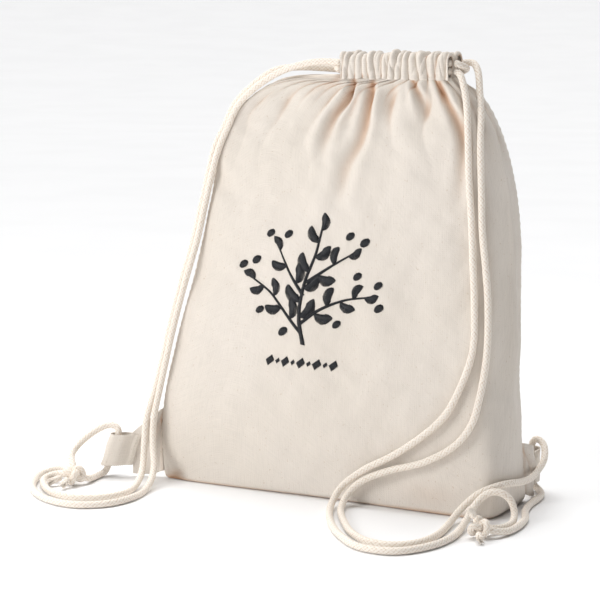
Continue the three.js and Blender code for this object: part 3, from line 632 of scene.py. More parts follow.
def outline_at(level, u):
    """Points of the outline at one level, at parameters u from 0 (left seam) to 1 round the bag."""
    return curve_at(outline_points(level), u, closed=True)


def base_seam(t):
    """The bottom seam, from the left side seam to the right one."""
    ends = outline_at(0.0, [0.0, 0.5])
    left = ends[0] + (ends[1] - ends[0]) * BASE_SEAM_INSET
    right = ends[0] + (ends[1] - ends[0]) * (1 - BASE_SEAM_INSET)
    t = np.atleast_1d(t)[:, None]
    line = left * (1 - t) + right * t
    line[:, 1] += BASE_SEAM_BOW * np.sin(np.pi * t[:, 0])
    line[:, 2] = FLOOR_GAP
    return line


def panel_base(first, last, columns_per_span, row_count):
    """The smooth panel between two guide numbers: rows from the base seam up to the hem."""
    u = np.concatenate([np.linspace(first + k, first + k + 1, n, endpoint=False)
                        for k, n in enumerate(columns_per_span)] + [[last]]) / GUIDES
    levels = LOWEST_LEVEL + (1 - LOWEST_LEVEL) * np.linspace(0, 1, row_count) ** 0.9
    wall = np.array([outline_at(level, u) for level in levels])
    wall[:, :, 2] = np.maximum.accumulate(wall[:, :, 2], axis=0)
    edge = wall[0]
    along = (u - first / GUIDES) / ((last - first) / GUIDES)
    seam = base_seam(along if first == 0 else 1 - along)
    seam[:, 1] += -SEAM_SPLIT if first == 0 else SEAM_SPLIT
    middle = base_seam(0.5)[0]
    inward = unit((middle - edge) * (1, 1, 0))
    turn = [edge + inward * BASE_RADIUS * (1 - math.cos(a)) - np.array([0, 0, edge[0, 2] * math.sin(a)])
            for a in np.linspace(np.pi / 2, 0, 8)[:-1]]
    turn = np.array(turn)
    turn[:, :, 2] = np.maximum(turn[:, :, 2], FLOOR_GAP)
    flat = [seam + (turn[0] - seam) * t for t in np.linspace(0, 1, 7)[:-1]]
    return np.concatenate([np.array(flat), turn, wall])


def grid_normals(grid):
    """Normals of a grid that face out of the bag."""
    across = np.gradient(grid, axis=1)
    up = np.gradient(grid, axis=0)
    return unit(np.cross(across, up))


# ---- Gathers and creases ----
def pinch_points(low, high, mean, seed):
    """Where a gathered edge is pinched: uneven steps between two ends."""
    local = np.random.default_rng(seed)
    points = [low]
    while points[-1] < high:
        points.append(points[-1] + mean * local.uniform(0.65, 1.4))
    return np.array(points), local.uniform(0.6, 1.25, len(points))


def gathers(x, pinches, power=0.75):
    """Rounded ridges between sharp pinches, from 0 to about 1."""
    points, heights = pinches
    index = np.clip(np.searchsorted(points, x) - 1, 0, len(points) - 2)
    t = (x - points[index]) / (points[index + 1] - points[index])
    return heights[index] * np.abs(np.sin(np.pi * np.clip(t, 0, 1))) ** power


def distance_to_line(x, z, line):
    """Signed distance from points to a polyline in the front view, and the share of its length."""
    line = np.asarray(line, float)
    best = np.full(x.shape, 1e9)
    share = np.zeros(x.shape)
    sign = np.ones(x.shape)
    lengths = np.linalg.norm(np.diff(line, axis=0), axis=1)
    total, gone = lengths.sum(), 0.0
    for (ax, az), (bx, bz), length in zip(line[:-1], line[1:], lengths):
        dx, dz = (bx - ax) / length, (bz - az) / length
        t = np.clip((x - ax) * dx + (z - az) * dz, 0, length)
        px, pz = x - (ax + dx * t), z - (az + dz * t)
        distance = np.hypot(px, pz)
        near = distance < best
        best = np.where(near, distance, best)
        share = np.where(near, (gone + t) / total, share)
        sign = np.where(near, np.sign(px * dz - pz * dx), sign)
        gone += length
    return best * sign, share


def crease(x, z, line, depth, width, ridge=0.45, lean=0.0):
    """A valley along a line with a soft ridge on each side, fading to its end; returns height and shade."""
    distance, share = distance_to_line(x, z, line)
    fade = np.clip(1 - share, 0, 1) ** 0.75 * np.clip((share + 0.02) * 12, 0.5, 1)
    wide = width * (0.6 + 0.9 * share)
    valley = np.exp(-(distance / wide) ** 2)
    left = np.exp(-((distance + wide * 1.7) / (wide * 1.05)) ** 2)
    right = np.exp(-((distance - wide * 1.7) / (wide * 1.05)) ** 2)
    height = depth * fade * (-valley + ridge * ((1 + lean) * left + (1 - lean) * right))
    return height, valley * fade


def soft_noise(a, b, size, seed, octaves=3):
    """Smooth noise on a grid of two coordinates, about -1 to 1."""
    local = np.random.default_rng(seed)
    total = np.zeros(a.shape)
    for k in range(octaves):
        for _ in range(6):
            angle = local.uniform(0, np.pi)
            phase = local.uniform(0, 2 * np.pi)
            scale = 2 * np.pi / (size / 1.7 ** k) * local.uniform(0.7, 1.3)
            total += np.sin((a * math.cos(angle) + b * math.sin(angle)) * scale + phase) / 1.9 ** k
    return total / 6


# ---- The canvas panels ----
FRONT_COLUMNS = (12, 75, 75, 12, 12, 25, 25, 12)     # columns of the front panel between its guides
BACK_COLUMNS = (12, 70, 70, 12, 12, 25, 25, 12)
WALL_ROWS = 180
CORD_GAP = 0.00035            # cloth under a cord keeps this far from it
HEM_PINCHES = pinch_points(-0.060, 0.130, 0.0068, 7)
PLEAT_PINCHES = pinch_points(-0.060, 0.130, 0.0165, 15)
BACK_HEM_PINCHES = pinch_points(-0.060, 0.130, 0.0072, 23)
BACK_PLEAT_PINCHES = pinch_points(-0.060, 0.130, 0.0150, 29)

# Long creases that hang from the front hem, as (line in x and z, depth, width, ridge, lean).
FRONT_CREASES = [
    ([(0.000, 0.384), (-0.006, 0.363), (-0.019, 0.346), (-0.027, 0.322), (-0.028, 0.300)],
     0.0120, 0.0050, 0.40, 0.3),
    ([(0.018, 0.384), (0.015, 0.358), (0.010, 0.328), (-0.002, 0.300), (-0.008, 0.258)],
     0.0072, 0.0060, 0.50, 0.0),
    ([(0.055, 0.384), (0.058, 0.376), (0.067, 0.360), (0.074, 0.343)], 0.0085, 0.0036, 0.35, -0.2),
    ([(0.078, 0.384), (0.090, 0.363), (0.103, 0.341), (0.109, 0.325), (0.110, 0.293), (0.108, 0.258)],
     0.0075, 0.0048, 0.35, 0.4),
    ([(-0.010, 0.383), (-0.037, 0.370), (-0.058, 0.360)], 0.0026, 0.0034, 0.5, 0.0),
    ([(0.038, 0.383), (0.036, 0.352), (0.032, 0.322)], 0.0022, 0.0060, 0.5, 0.0),
    ([(-0.013, 0.379), (-0.058, 0.348), (-0.082, 0.318)], 0.0016, 0.0080, 0.5, 0.0),
    ([(-0.1495, 0.300), (-0.110, 0.262), (-0.080, 0.238)], 0.0010, 0.0100, 0.5, 0.0),
]
BACK_CREASES = [
    ([(0.006, 0.384), (-0.004, 0.360), (-0.022, 0.336), (-0.034, 0.300)], 0.0060, 0.0050, 0.4, 0.2),
    ([(0.032, 0.384), (0.030, 0.350), (0.022, 0.312), (0.018, 0.280)], 0.0042, 0.0060, 0.5, 0.0),
    ([(0.060, 0.384), (0.072, 0.360), (0.084, 0.334), (0.094, 0.300)], 0.0055, 0.0046, 0.4, 0.0),
    ([(0.082, 0.384), (0.100, 0.366), (0.118, 0.344), (0.128, 0.312)], 0.0040, 0.0040, 0.4, 0.0),
    ([(-0.012, 0.383), (-0.050, 0.362), (-0.086, 0.338), (-0.104, 0.306)], 0.0036, 0.0055, 0.45, 0.0),
    ([(-0.140, 0.250), (-0.100, 0.215), (-0.060, 0.190)], 0.0016, 0.0130, 0.5, 0.0),
    ([(0.140, 0.230), (0.100, 0.200), (0.055, 0.185)], 0.0014, 0.0120, 0.5, 0.0),
]
# Creases of the right side face, as lines in y and z.
SIDE_CREASES = [
    ([(0.030, 0.384), (0.028, 0.360), (0.027, 0.338), (0.026, 0.305)], 0.0034, 0.0026, 0.6, 0.0),
    ([(0.016, 0.370), (0.0145, 0.338), (0.012, 0.312), (0.007, 0.280)], 0.0044, 0.0034, 0.5, 0.0),
    ([(0.020, 0.270), (0.014, 0.215), (0.010, 0.160)], 0.0014, 0.0070, 0.5, 0.0),
    ([(0.028, 0.190), (0.022, 0.120), (0.010, 0.070)], 0.0016, 0.0080, 0.5, 0.0),
]

# Dents of the front near the floor and under the cord, as (centre in x and z, size, height).
FRONT_DENTS = [
    ((0.104, 0.020), (0.036, 0.017), -0.0042), ((0.040, 0.030), (0.050, 0.016), -0.0018),
    ((-0.162, 0.006), (0.012, 0.010), -0.0052), ((-0.120, 0.014), (0.030, 0.012), -0.0014),
    ((0.118, 0.240), (0.016, 0.030), -0.0022),
]
# Painted warm shade in the two deepest dents, given the same way.
FRONT_SHADES = [((-0.164, 0.005), (0.011, 0.007), 0.55), ((0.100, 0.016), (0.042, 0.018), 0.34)]


def arc_at_hem(grid):
    """For each column, its place along the hem line, equal to x where the hem runs straight."""
    top = grid[-1]
    along = length_along(top)
    direction = 1 if top[-1, 0] > top[0, 0] else -1
    middle = len(top) // 3
    return top[middle, 0] + direction * (along - along[middle])


def smooth_line(line):
    return curve_at(np.array([(a, b, 0.0) for a, b in line]), np.linspace(0, 1, 22))[:, :2]


def bump_at(x, z, centre, size, height):
    return height * np.exp(-((x - centre[0]) / size[0]) ** 2 - ((z - centre[1]) / size[1]) ** 2)


def shape_panel(grid, front):
    """Gathers, creases and soft undulation, and the painted shade of each point, strongest deep in a fold."""
    normals = grid_normals(grid)
    x, y, z = grid[..., 0], grid[..., 1], grid[..., 2]
    arc = arc_at_hem(grid)[None, :] * np.ones_like(x)
    fine, wide = (HEM_PINCHES, PLEAT_PINCHES) if front else (BACK_HEM_PINCHES, BACK_PLEAT_PINCHES)
    below = HEM_Z[0] - z
    wander = 0.0016 * np.sin(below * 95 + 3.0 * np.sin(arc * 60))
    near = np.exp(-np.clip(below, 0, 1) / 0.0135)
    ruffle = gathers(arc + wander * 0.4, fine)
    height = near * (RUFFLE_HEIGHT * ruffle - RUFFLE_SINK)
    reach = np.clip(below / 0.022, 0, 1) * np.exp(-np.clip(below - 0.02, 0, 1) / 0.030)
    pleat = gathers(arc + wander, wide, 0.9)
    height += reach * 0.0068 * (pleat - 0.55)
    # Painted shade in the pinches of the gathers and of the pleats below the hem.
    fold = near * np.clip(1 - ruffle * 1.9, 0, 1) + reach * np.clip(1 - pleat * 1.8, 0, 1) * 0.5
    at_seam = 0.10 + 0.90 * np.clip((below - 0.0005) / 0.011, 0, 1) ** 1.2
    side_face = np.clip((normals[..., 0] - 0.55) / 0.3, 0, 1)
    # Each crease, on the front or back and on the side face, paints shade along its valley as well as shaping
    # the cloth.
    for line, depth, width, ridge, lean in FRONT_CREASES if front else BACK_CREASES:
        rise, shade = crease(x, z, smooth_line(line), depth, width, ridge, lean)
        height += rise * (1 - side_face) * at_seam
        fold += shade * (1 - side_face) * min(1.0, depth / 0.0062)
    for line, depth, width, ridge, lean in SIDE_CREASES:
        rise, shade = crease(y, z, smooth_line(line), depth, width, ridge, lean)
        height += rise * side_face * at_seam
        fold += shade * side_face * 0.6 * min(1.0, depth / 0.004)
    if front:
        for dent in FRONT_DENTS:
            height += bump_at(x, z, *dent)
        # Painted shade in the two deepest dents.
        for shade in FRONT_SHADES:
            fold += bump_at(x, z, *shade)
        # Painted shade along the bottom edge, where the cloth meets the floor.
        fold += 0.8 * np.clip(1 - z / 0.0045, 0, 1)
    inside = np.clip(z / 0.02, 0, 1) * np.clip((0.386 - z) / 0.04, 0, 1)
    height += inside * 0.0022 * soft_noise(x + y * 0.6, z, 0.085, 3 if front else 4)
    height += inside * 0.00045 * soft_noise(x + y * 0.6, z, 0.019, 5 if front else 6)
    height *= np.clip(z / 0.006, 0, 1)
    seam_gap = np.minimum(*(np.linalg.norm(grid - seam, axis=2) for seam in (grid[:, :1], grid[:, -1:])))
    held = np.clip(seam_gap / 0.007, 0, 1) ** 1.5
    pucker = 0.0004 * np.sin(z * 900) * np.exp(-(seam_gap / 0.004) ** 2)
    groove = 0.0012 * np.exp(-(seam_gap / 0.0016) ** 2)
    height = height * held - groove + pucker * np.clip(seam_gap / 0.001, 0, 1)
    # Painted shade in the groove along each side seam.
    fold += 0.30 * np.exp(-(seam_gap / 0.0012) ** 2)
    return grid + normals * height[..., None], np.clip(fold, 0, 1)


def press_under_cords(grid, routes, room):
    """Cloth that would touch a cord gives way to it."""
    flat = grid.reshape(-1, 3)
    middle = np.vstack(routes)
    nearest = np.full(len(flat), 1e9)
    target = np.zeros_like(flat)
    for block in range(0, len(middle), 200):
        part = middle[block:block + 200]
        low, high = part.min(axis=0) - room, part.max(axis=0) + room
        close = np.where(((flat > low) & (flat < high)).all(axis=1))[0]
        if not len(close):
            continue
        gap = np.linalg.norm(flat[close, None] - part[None], axis=2)
        best = gap.argmin(axis=1)
        gap = gap[np.arange(len(close)), best]
        better = gap < nearest[close]
        nearest[close[better]] = gap[better]
        target[close[better]] = part[best[better]]
    hit = nearest < room
    away = unit(flat[hit] - target[hit])
    flat[hit] = target[hit] + away * room
    return flat.reshape(grid.shape)


def cloth_uv(grid):
    """Flat coordinates in metres, along the rows and up the columns."""
    middle = len(grid) // 2
    across = length_along(grid[middle])
    up = np.vstack([np.zeros(grid.shape[1]),
                    np.cumsum(np.linalg.norm(np.diff(grid, axis=0), axis=2), axis=0)])
    return np.stack([np.broadcast_to(across, up.shape), up], axis=-1)


def make_panel(name, first, last, front, routes, material, node):
    """A panel of canvas from one side seam to the other; returns the piece and its grid of points."""
    base = panel_base(first, last, FRONT_COLUMNS if front else BACK_COLUMNS, WALL_ROWS)
    grid, fold = shape_panel(base, front)
    grid[..., 2] = np.maximum(grid[..., 2], FLOOR_GAP)
    grid = press_under_cords(grid, routes, CORD / 2 + CORD_GAP)
    panel = grid_mesh(name, grid, uv=cloth_uv(base), fold=fold)
    thicken(panel, CLOTH)
    return dress(panel, material, "bag", "cotton", node), grid


# ---- The gathered hems ----
def make_hem(name, front, body, material, node):
    """A gathered sleeve: one loop of cloth in section, swept between the hem's ends."""
    outer_y, sign = (FRONT_HEM_Y, 1) if front else (BACK_HEM_Y, -1)
    fine = HEM_PINCHES if front else BACK_HEM_PINCHES
    local = np.random.default_rng(51 if front else 52)
    x = np.linspace(*HEM_X, 300)
    low, high = HEM_Z
    loop = [(0.0, low + 0.0002), (0.0, low + 0.004), (0.0, low + 0.008), (0.0, low + 0.0125),
            (0.0, low + 0.0165), (0.0012, high - 0.0022), (0.0030, high - 0.0004), (0.0058, high),
            (0.0085, high - 0.0004),
            (0.0103, high - 0.0022), (0.0115, high - 0.0055), (0.0115, low + 0.010), (0.0115, low + 0.006),
            (0.0112, low + 0.003), (0.0095, low + 0.0012), (0.0060, low + 0.0006), (0.0025, low + 0.0003)]
    loop = np.array([(a, b, 0.0) for a, b in loop])
    loop = curve_at(loop, np.linspace(0, 1, 64, endpoint=False), closed=True)[:, :2]
    middle = np.array([HEM_DEPTH / 2, (low + high) / 2])
    outward = unit(np.gradient(loop, axis=0)[:, ::-1] * (1, -1))
    outward *= np.sign((outward * (loop - middle)).sum(axis=1))[:, None]
    drift = 0.00064 * np.sin((low - loop[:, 1][:, None]) * 95 + 3.0 * np.sin(x[None, :] * 60))
    drift = drift + (loop[:, 1][:, None] - low) * 0.16 * np.sin(x[None, :] * 130)
    ruffle = gathers(x[None, :] + drift, fine, 0.8)
    finest = pinch_points(-0.06, 0.13, 0.0047, 61 if front else 62)
    second = gathers(x[None, :] - drift * 1.5 + 0.002, finest, 0.9)
    waist = np.exp(-((loop[:, 1] - low - 0.0028) / 0.0024) ** 2)[:, None]
    face = np.clip(1 - loop[:, 0] / 0.004, 0, 1)[:, None]
    puff = (RUFFLE_HEIGHT * ruffle - RUFFLE_SINK) * (0.35 + 0.65 * face)
    puff = puff + 0.0013 * (second - 0.5) * np.clip((loop[:, 1][:, None] - low) / 0.005, 0, 1)
    puff = puff - waist * face * 0.0008
    top = np.clip((loop[:, 1] - high + 0.006) / 0.006, 0, 1)[:, None]
    jag = np.interp(x, np.linspace(*HEM_X, 22), local.uniform(-0.0012, 0.0010, 22))[None, :]
    inner = np.clip((loop[:, 0] - 0.008) / 0.003, 0, 1)[:, None]
    puff = np.where(inner > 0, np.clip(puff, -0.0011, 0.0016), puff)
    puff = puff + top * (0.0026 * (ruffle - 0.5) + jag * 1.6)
    section = loop[:, None, :] + outward[:, None, :] * puff[:, :, None]
    grid = np.stack([np.broadcast_to(x, puff.shape), outer_y + sign * section[..., 0],
                     np.maximum(section[..., 1], low + 0.0001)], axis=-1)
    grid = grid.transpose(1, 0, 2)
    # Painted shade in the pinches of the gathers and in the drawn-in waist along the stitching.
    in_pinch = np.clip(1 - ruffle * 1.7, 0, 1) * 0.9
    at_waist = waist * face * np.clip(1 - ruffle * 1.1, 0, 1) * 0.6
    fold = np.clip(in_pinch + at_waist, 0, 1).T
    around = length_along(loop)
    uv = np.stack(np.broadcast_arrays(x[:, None] * 2.4, around[None, :]), axis=-1)
    piece = grid_mesh(name, grid, wrap=True, flip=not front, uv=uv, fold=fold)
    thicken(piece, CLOTH)
    return dress(piece, material, body, "cotton", node)


def hem_stitches(name, front, body, material, node):
    """Straight stitches along the bottom of a hem, sunk into the gathers."""
    outer_y, sign = (FRONT_HEM_Y, 1) if front else (BACK_HEM_Y, -1)
    fine = HEM_PINCHES if front else BACK_HEM_PINCHES
    threads = []
    x = HEM_X[0] + 0.002
    while x < HEM_X[1] - 0.004:
        span = np.linspace(x, x + 0.0020, 5)
        rise = RUFFLE_HEIGHT * gathers(span, fine, 0.8) - RUFFLE_SINK
        rise += 0.0002 * np.sin(np.linspace(0, np.pi, 5))
        y = outer_y - sign * (rise - 0.00055)
        z = 0.3826 + 0.0003 * np.sin(span * 500)
        threads.append(thread_tube(np.stack([span, y, z], axis=1), 0.00035, 5))
        x += 0.0029
    return dress(merge_threads(name, threads), material, body, "white_thread", node)


# ---- Rope ----
ROPE_STEP = 0.00085
ROPE_EASE = 0.0038             # how far a rope spreads its sharp turns along itself
ROPE_SIDES = 28
BRAID_AROUND = 6
BRAID_LENGTH = 0.0038


def braid_height(turn, along):
    """Relief of a braid of twelve strands: each shows where it passes over the others."""
    a = BRAID_AROUND * turn / (2 * np.pi) + along / BRAID_LENGTH
    b = BRAID_AROUND * turn / (2 * np.pi) - along / BRAID_LENGTH
    over = (np.floor(a) + np.floor(b)) % 2 < 0.5
    fa, fb = np.sin(np.pi * (a % 1)), np.sin(np.pi * (b % 1))
    return np.where(over, fb ** 0.55 * (0.72 + 0.28 * fa), fa ** 0.55 * (0.72 + 0.28 * fb))


def rope_grid(path, radius=CORD / 2, seed=1, sides=ROPE_SIDES, ends=True):
    """Rings of a braided rope along a path, closed at both ends, with their groove values and UV."""
    _, side, up = frames_along(path)
    along = length_along(path)
    turn = 2 * np.pi * np.arange(sides) / sides
    grid_turn, grid_along = turn[None, :], along[:, None]
    relief = braid_height(grid_turn + 0 * grid_along, grid_along + 0 * grid_turn)
    uneven = 0.03 * soft_noise(grid_along * np.ones_like(relief), np.ones_like(relief) * seed, 0.05, seed)
    r = radius * (0.915 + 0.085 * relief + uneven)
    if ends:
        cap = np.minimum(along, along[-1] - along)[:, None]
        r = r * np.sqrt(np.clip(1 - (1 - np.clip(cap / (radius * 0.6), 0, 1)) ** 2, 0.02, 1))
    ring = np.cos(turn)[None, :, None] * side[:, None] + np.sin(turn)[None, :, None] * up[:, None]
    grid = path[:, None] + r[..., None] * ring
    uv = np.stack(np.broadcast_arrays(grid_turn * radius, grid_along), axis=-1)
    return grid, relief, uv


def rope_mesh(name, path, material, radius=CORD / 2, seed=1, sides=ROPE_SIDES):
    """A closed braided rope."""
    grid, relief, uv = rope_grid(path, radius, seed, sides)
    grid[..., 2] = np.maximum(grid[..., 2], 0.00015)
    piece = grid_mesh(name, grid, wrap=True, flip=True, uv=uv, groove=relief)
    close_ends(piece.data, grid.shape[0], sides)
    piece.data.materials.append(material)
    return piece


def knot_path(centre, turn, lean):
    """The centre line of an overhand knot drawn tight: a trefoil pressed towards the floor."""
    t = np.linspace(0, 2 * np.pi, 160, endpoint=False) + 0.35
    x = np.sin(t) + 1.55 * np.sin(2 * t)
    y = np.cos(t) - 1.55 * np.cos(2 * t)
    z = -np.sin(3 * t)
    points = np.stack([x * 0.00335, y * 0.00290, z * 0.00460], axis=1)
    c, s = math.cos(turn), math.sin(turn)
    points = points @ np.array([[c, s, 0], [-s, c, 0], [0, 0, 1]])
    c, s = math.cos(lean), math.sin(lean)
    points = points @ np.array([[1, 0, 0], [0, c, s], [0, -s, c]])
    return points + np.array(centre)


def make_knot(name, centre, turn, lean, material, body):
    path = knot_path(centre, turn, lean)
    path = np.vstack([path, path[:1]])
    dense, _ = even_path(path, 0.0006)
    grid, relief, uv = rope_grid(dense, CORD / 2 * 0.97, seed=9, sides=24, ends=False)
    grid[..., 2] = np.maximum(grid[..., 2], 0.0003)
    piece = grid_mesh(name + "_rope", grid, wrap=True, flip=True, uv=uv, groove=relief)
    close_ends(piece.data, grid.shape[0], 24)
    return dress(piece, material, body, "rope", name)


TAIL_STEP = 0.0005
TAIL_YARNS = 64


def make_tail(name, route, material, body, seed):
    """A cut rope end: a short braided stub that opens into frayed yarns."""
    local = np.random.default_rng(seed)
    path, _ = even_path(route, TAIL_STEP)
    stub = path[: int(len(path) * 0.62)]
    grid, relief, uv = rope_grid(stub, CORD / 2 * 0.94, seed=seed, sides=24, ends=True)
    grid[..., 2] = np.maximum(grid[..., 2], 0.0003)
    piece = grid_mesh(name + "_rope", grid, wrap=True, flip=True, uv=uv, groove=relief)
    close_ends(piece.data, grid.shape[0], 24)
    dress(piece, material, body, "rope", name)
    tangents, side, up = frames_along(path)
    start = int(len(stub) * 0.72)
    threads = []
    for _ in range(TAIL_YARNS):
        turn, depth = local.uniform(0, 2 * np.pi), math.sqrt(local.uniform(0.02, 1)) * CORD * 0.42
        spread = local.uniform(1.0, 1.45)
        bend = local.normal(0, 0.0007, 2)
        reach = local.uniform(0.80, 1.06)
        line = []
        for s in np.linspace(0, 1, 7):
            index = start + s * reach * (len(path) - 1 - start)
            k = min(len(path) - 1, int(index))
            beyond = max(0.0, index - (len(path) - 1)) * TAIL_STEP
            centre = path[k] + tangents[k] * beyond
            out = depth * (1 + (spread - 1) * s ** 1.5)
            point = (centre + (math.cos(turn) * side[k] + math.sin(turn) * up[k]) * out
                     + side[k] * bend[0] * s ** 2 + up[k] * bend[1] * s ** 2)
            point[2] = max(point[2], 0.0006)
            line.append(point)
        threads.append(thread_tube(curve_at(np.array(line), np.linspace(0, 1, 10)),
                                   np.linspace(0.00042, 0.00022, 10), 5))
    fray = dress(merge_threads(name + "_fray", threads), material, body, "rope")
    # The frayed yarns take a fixed relief value, so they get little painted shade.
    store_value(fray.data, "groove", np.full(len(fray.data.vertices), 0.8))
    return piece, fray


# ---- Bottom corners and their loops ----
def seam_points(guide, low, high, count):
    """Points up one of the bag's guides, between two levels."""
    return np.array([outline_at(level, [guide / GUIDES])[0] for level in np.linspace(low, high, count)])


CORNER_PLIES = 0.0029         # both plies of a flattened corner and the seam between them


def make_corner(name, guide, bend, tip, low, tops, material):
    """A bottom corner of the bag, flattened into two plies that run out to the loop."""
    points = seam_points(guide, 0, 0.35, 60)
    root_top, bend_top, tip_top = tops
    rows, cols = 46, 44
    t = np.linspace(0, 1, rows)[:, None]
    s = np.linspace(0, 1, cols)[None, :]
    root_z = BASE_RADIUS + (root_top - BASE_RADIUS) * t[:, 0]
    root = np.stack([np.interp(root_z, points[:, 2], points[:, k]) for k in range(3)], axis=1)
    root[:, 2] = root_z
    bend_line, tip_line = (
        np.stack([np.full(rows, at[0]), np.full(rows, at[1]), low + (top - low) * t[:, 0]], axis=1)
        for at, top in ((bend, bend_top), (tip, tip_top)))
    inside = root + unit((root - bend_line) * (1, 1, 0)) * 0.001
    grid = np.zeros((rows, cols, 3))
    for r in range(rows):
        grid[r] = curve_at(np.array([inside[r], bend_line[r], tip_line[r]]), s[0])
    normals = grid_normals(grid)
    wave = (0.0010 * np.sin(t * 9 + s * 5) * np.sin(np.pi * s)
            + 0.0009 * np.sin(s * 11 + t * 3) * np.sin(np.pi * s))
    diagonal = crease(s * 0.04 + 0 * t, t * 0.05 + 0 * s, [(0.002, 0.044), (0.016, 0.026), (0.030, 0.010)],
                      0.0016, 0.0042)
    height = (wave + diagonal[0]) * np.clip(s / 0.15, 0, 1) * np.clip((1 - s) / 0.15, 0, 1)
    grid = grid + normals * height[..., None]
    # Painted shade in the diagonal crease and along the root, where the corner leaves the bag.
    fold = np.clip(diagonal[1] * 0.5 + 0.35 * (s < 0.12), 0, 1)
    piece = grid_mesh(name, grid, uv=cloth_uv(grid), fold=fold)
    thicken(piece, CORNER_PLIES, 0.0)
    return dress(piece, material, "bag", "cotton")


TAB_HEIGHT = 0.030            # the strip's width, which stands upright
TAB_PLY = 0.0013              # its thickness
TAB_REACH = 0.019             # from the corner's tip to the middle of the loop
TAB_LAP = 0.0045              # how far it lies over the corner
TAB_NARROW = 0.0021           # half its opening over the corner
TAB_WIDE = 0.0060             # half its opening round the cord
TAB_LOW = 0.0115              # its lower edge above the floor


def tab_line(offset):
    """The strip's path in plan: along one side of the corner, round the cord and back."""
    arc = [(TAB_REACH + (TAB_WIDE + offset) * math.sin(a), -(TAB_WIDE + offset) * math.cos(a))
           for a in np.linspace(0, np.pi, 13)]
    lap = [(-TAB_LAP, TAB_NARROW + offset), (-0.001, TAB_NARROW + offset), (0.002, TAB_NARROW + offset),
           (0.007, (TAB_NARROW + TAB_WIDE) / 2 + offset), (0.012, TAB_WIDE + offset)]
    return np.array([(x, -y) for x, y in lap] + arc + lap[::-1])


def place_on_corner(points, bend, tip, fall):
    """From the loop's own axes to the bag's: x away from the tip, y across, z up."""
    along = unit(np.array([tip[0] - bend[0], tip[1] - bend[1]]))
    across = np.array([-along[1], along[0]])
    middle = TAB_LOW + TAB_HEIGHT / 2
    x = points[..., 0] - fall * (points[..., 2] - middle)
    plan = np.array(tip[:2]) + x[..., None] * along + points[..., 1][..., None] * across
    return np.concatenate([plan, points[..., 2:3]], axis=-1)


def make_tab(name, bend, tip, fall, material, thread):
    """A folded strip round its cord; returns the strip, its two rows of stitches and its length."""
    path = tab_line(TAB_PLY / 2)
    line = np.c_[path, np.zeros(len(path))]
    dense, length = even_path(line, 0.0006)
    rows = 34
    v = np.linspace(0, 1, rows)
    grid = np.zeros((rows, len(dense), 3))
    grid[..., 0] = dense[None, :, 0]
    grid[..., 1] = dense[None, :, 1]
    edge = 0.0004 * np.sin(np.arange(len(dense)) * 1.9)
    grid[..., 2] = TAB_LOW + v[:, None] * TAB_HEIGHT + edge[None, :] * (2 * v[:, None] - 1)
    bow = 0.00045 * np.sin(v * 7)[:, None] * np.sin(np.linspace(0, 9, len(dense)))[None, :]
    outward = unit(np.stack([dense[:, 0] - 0.010, dense[:, 1]], axis=1))
    grid[..., 0] += bow * outward[None, :, 0]
    grid[..., 1] += bow * outward[None, :, 1] * np.clip(np.abs(grid[..., 1]) / 0.004, 0, 1)
    grid = place_on_corner(grid, bend, tip, fall)
    along = length_along(dense)
    uv = np.stack(np.broadcast_arrays(along[None, :], (v * TAB_HEIGHT)[:, None]), axis=-1)
    piece = grid_mesh(name + "_strip", grid, uv=uv, fold=np.zeros(grid.shape[:2]))
    thicken(piece, TAB_PLY, 0.0)
    dress(piece, material, "bag", "tape", name)
    stitches = []
    for side, ply in ((1, "front"), (-1, "back")):
        threads = []
        z = TAB_LOW + 0.0015
        while z < TAB_LOW + TAB_HEIGHT - 0.0015:
            y = TAB_NARROW + TAB_PLY + 0.0002
            for x in (-0.0012, -0.0030):
                dash = np.array([(x, side * y, z), (x, side * (y + 0.0002), z + 0.0011),
                                 (x, side * y, z + 0.0022)])
                threads.append(thread_tube(place_on_corner(dash, bend, tip, fall), 0.0003, 5))
            z += 0.0030
        row = merge_threads(f"{name}_{ply}_stitches", threads)
        stitches.append(dress(row, thread, "bag", "white_thread", f"{name}_{ply}_stitching"))
    return piece, stitches, length


# ---- Seams inside the bag ----
def make_side_seam(name, guide, cloth, thread):
    """The turned-in raw edges of a side seam, bound with overlock thread."""
    path, left, right = (seam_points(k, 0.03, 0.80, 150) for k in (guide, 0, GUIDES // 2))
    centre = (left + right) / 2
    inward = unit((centre - path) * (1, 1, 0))
    ply = np.stack([path + inward * d for d in np.linspace(0.0050, 0.0105, 6)], axis=1)
    across = np.stack([-inward[:, 1], inward[:, 0], np.zeros(len(inward))], axis=1)
    ripple = 0.0004 * np.sin(np.linspace(0, 90, len(path)))[:, None] * np.linspace(0, 1, 6)[None, :]
    ply = ply + across[:, None] * ripple[..., None]
    threads = []
    length = length_along(path)
    for s in np.arange(0.004, length[-1] - 0.004, 0.0032):
        p = np.array([np.interp(s, length, path[:, k]) for k in range(3)])
        i = int(np.interp(s, length, np.arange(len(path))))
        a, c = inward[i], across[i]
        loop = [p + a * 0.0052 + c * 0.0010,
                p + a * 0.0080 + c * 0.0011 + np.array([0, 0, 0.0012]),
                p + a * 0.0109 + np.array([0, 0, 0.0014]),
                p + a * 0.0080 - c * 0.0011 + np.array([0, 0, 0.0004]),
                p + a * 0.0052 - c * 0.0010]
        threads.append(thread_tube(curve_at(np.array(loop), np.linspace(0, 1, 12)), 0.00028, 4))
    strip = grid_mesh(name + "_strip", ply, uv=cloth_uv(ply), fold=np.zeros(ply.shape[:2]))
    thicken(strip, 0.0014, 0.0)
    dress(strip, cloth, "bag", "white_thread", name)
    dress(merge_threads(name + "_overlock", threads), thread, "bag", "white_thread")


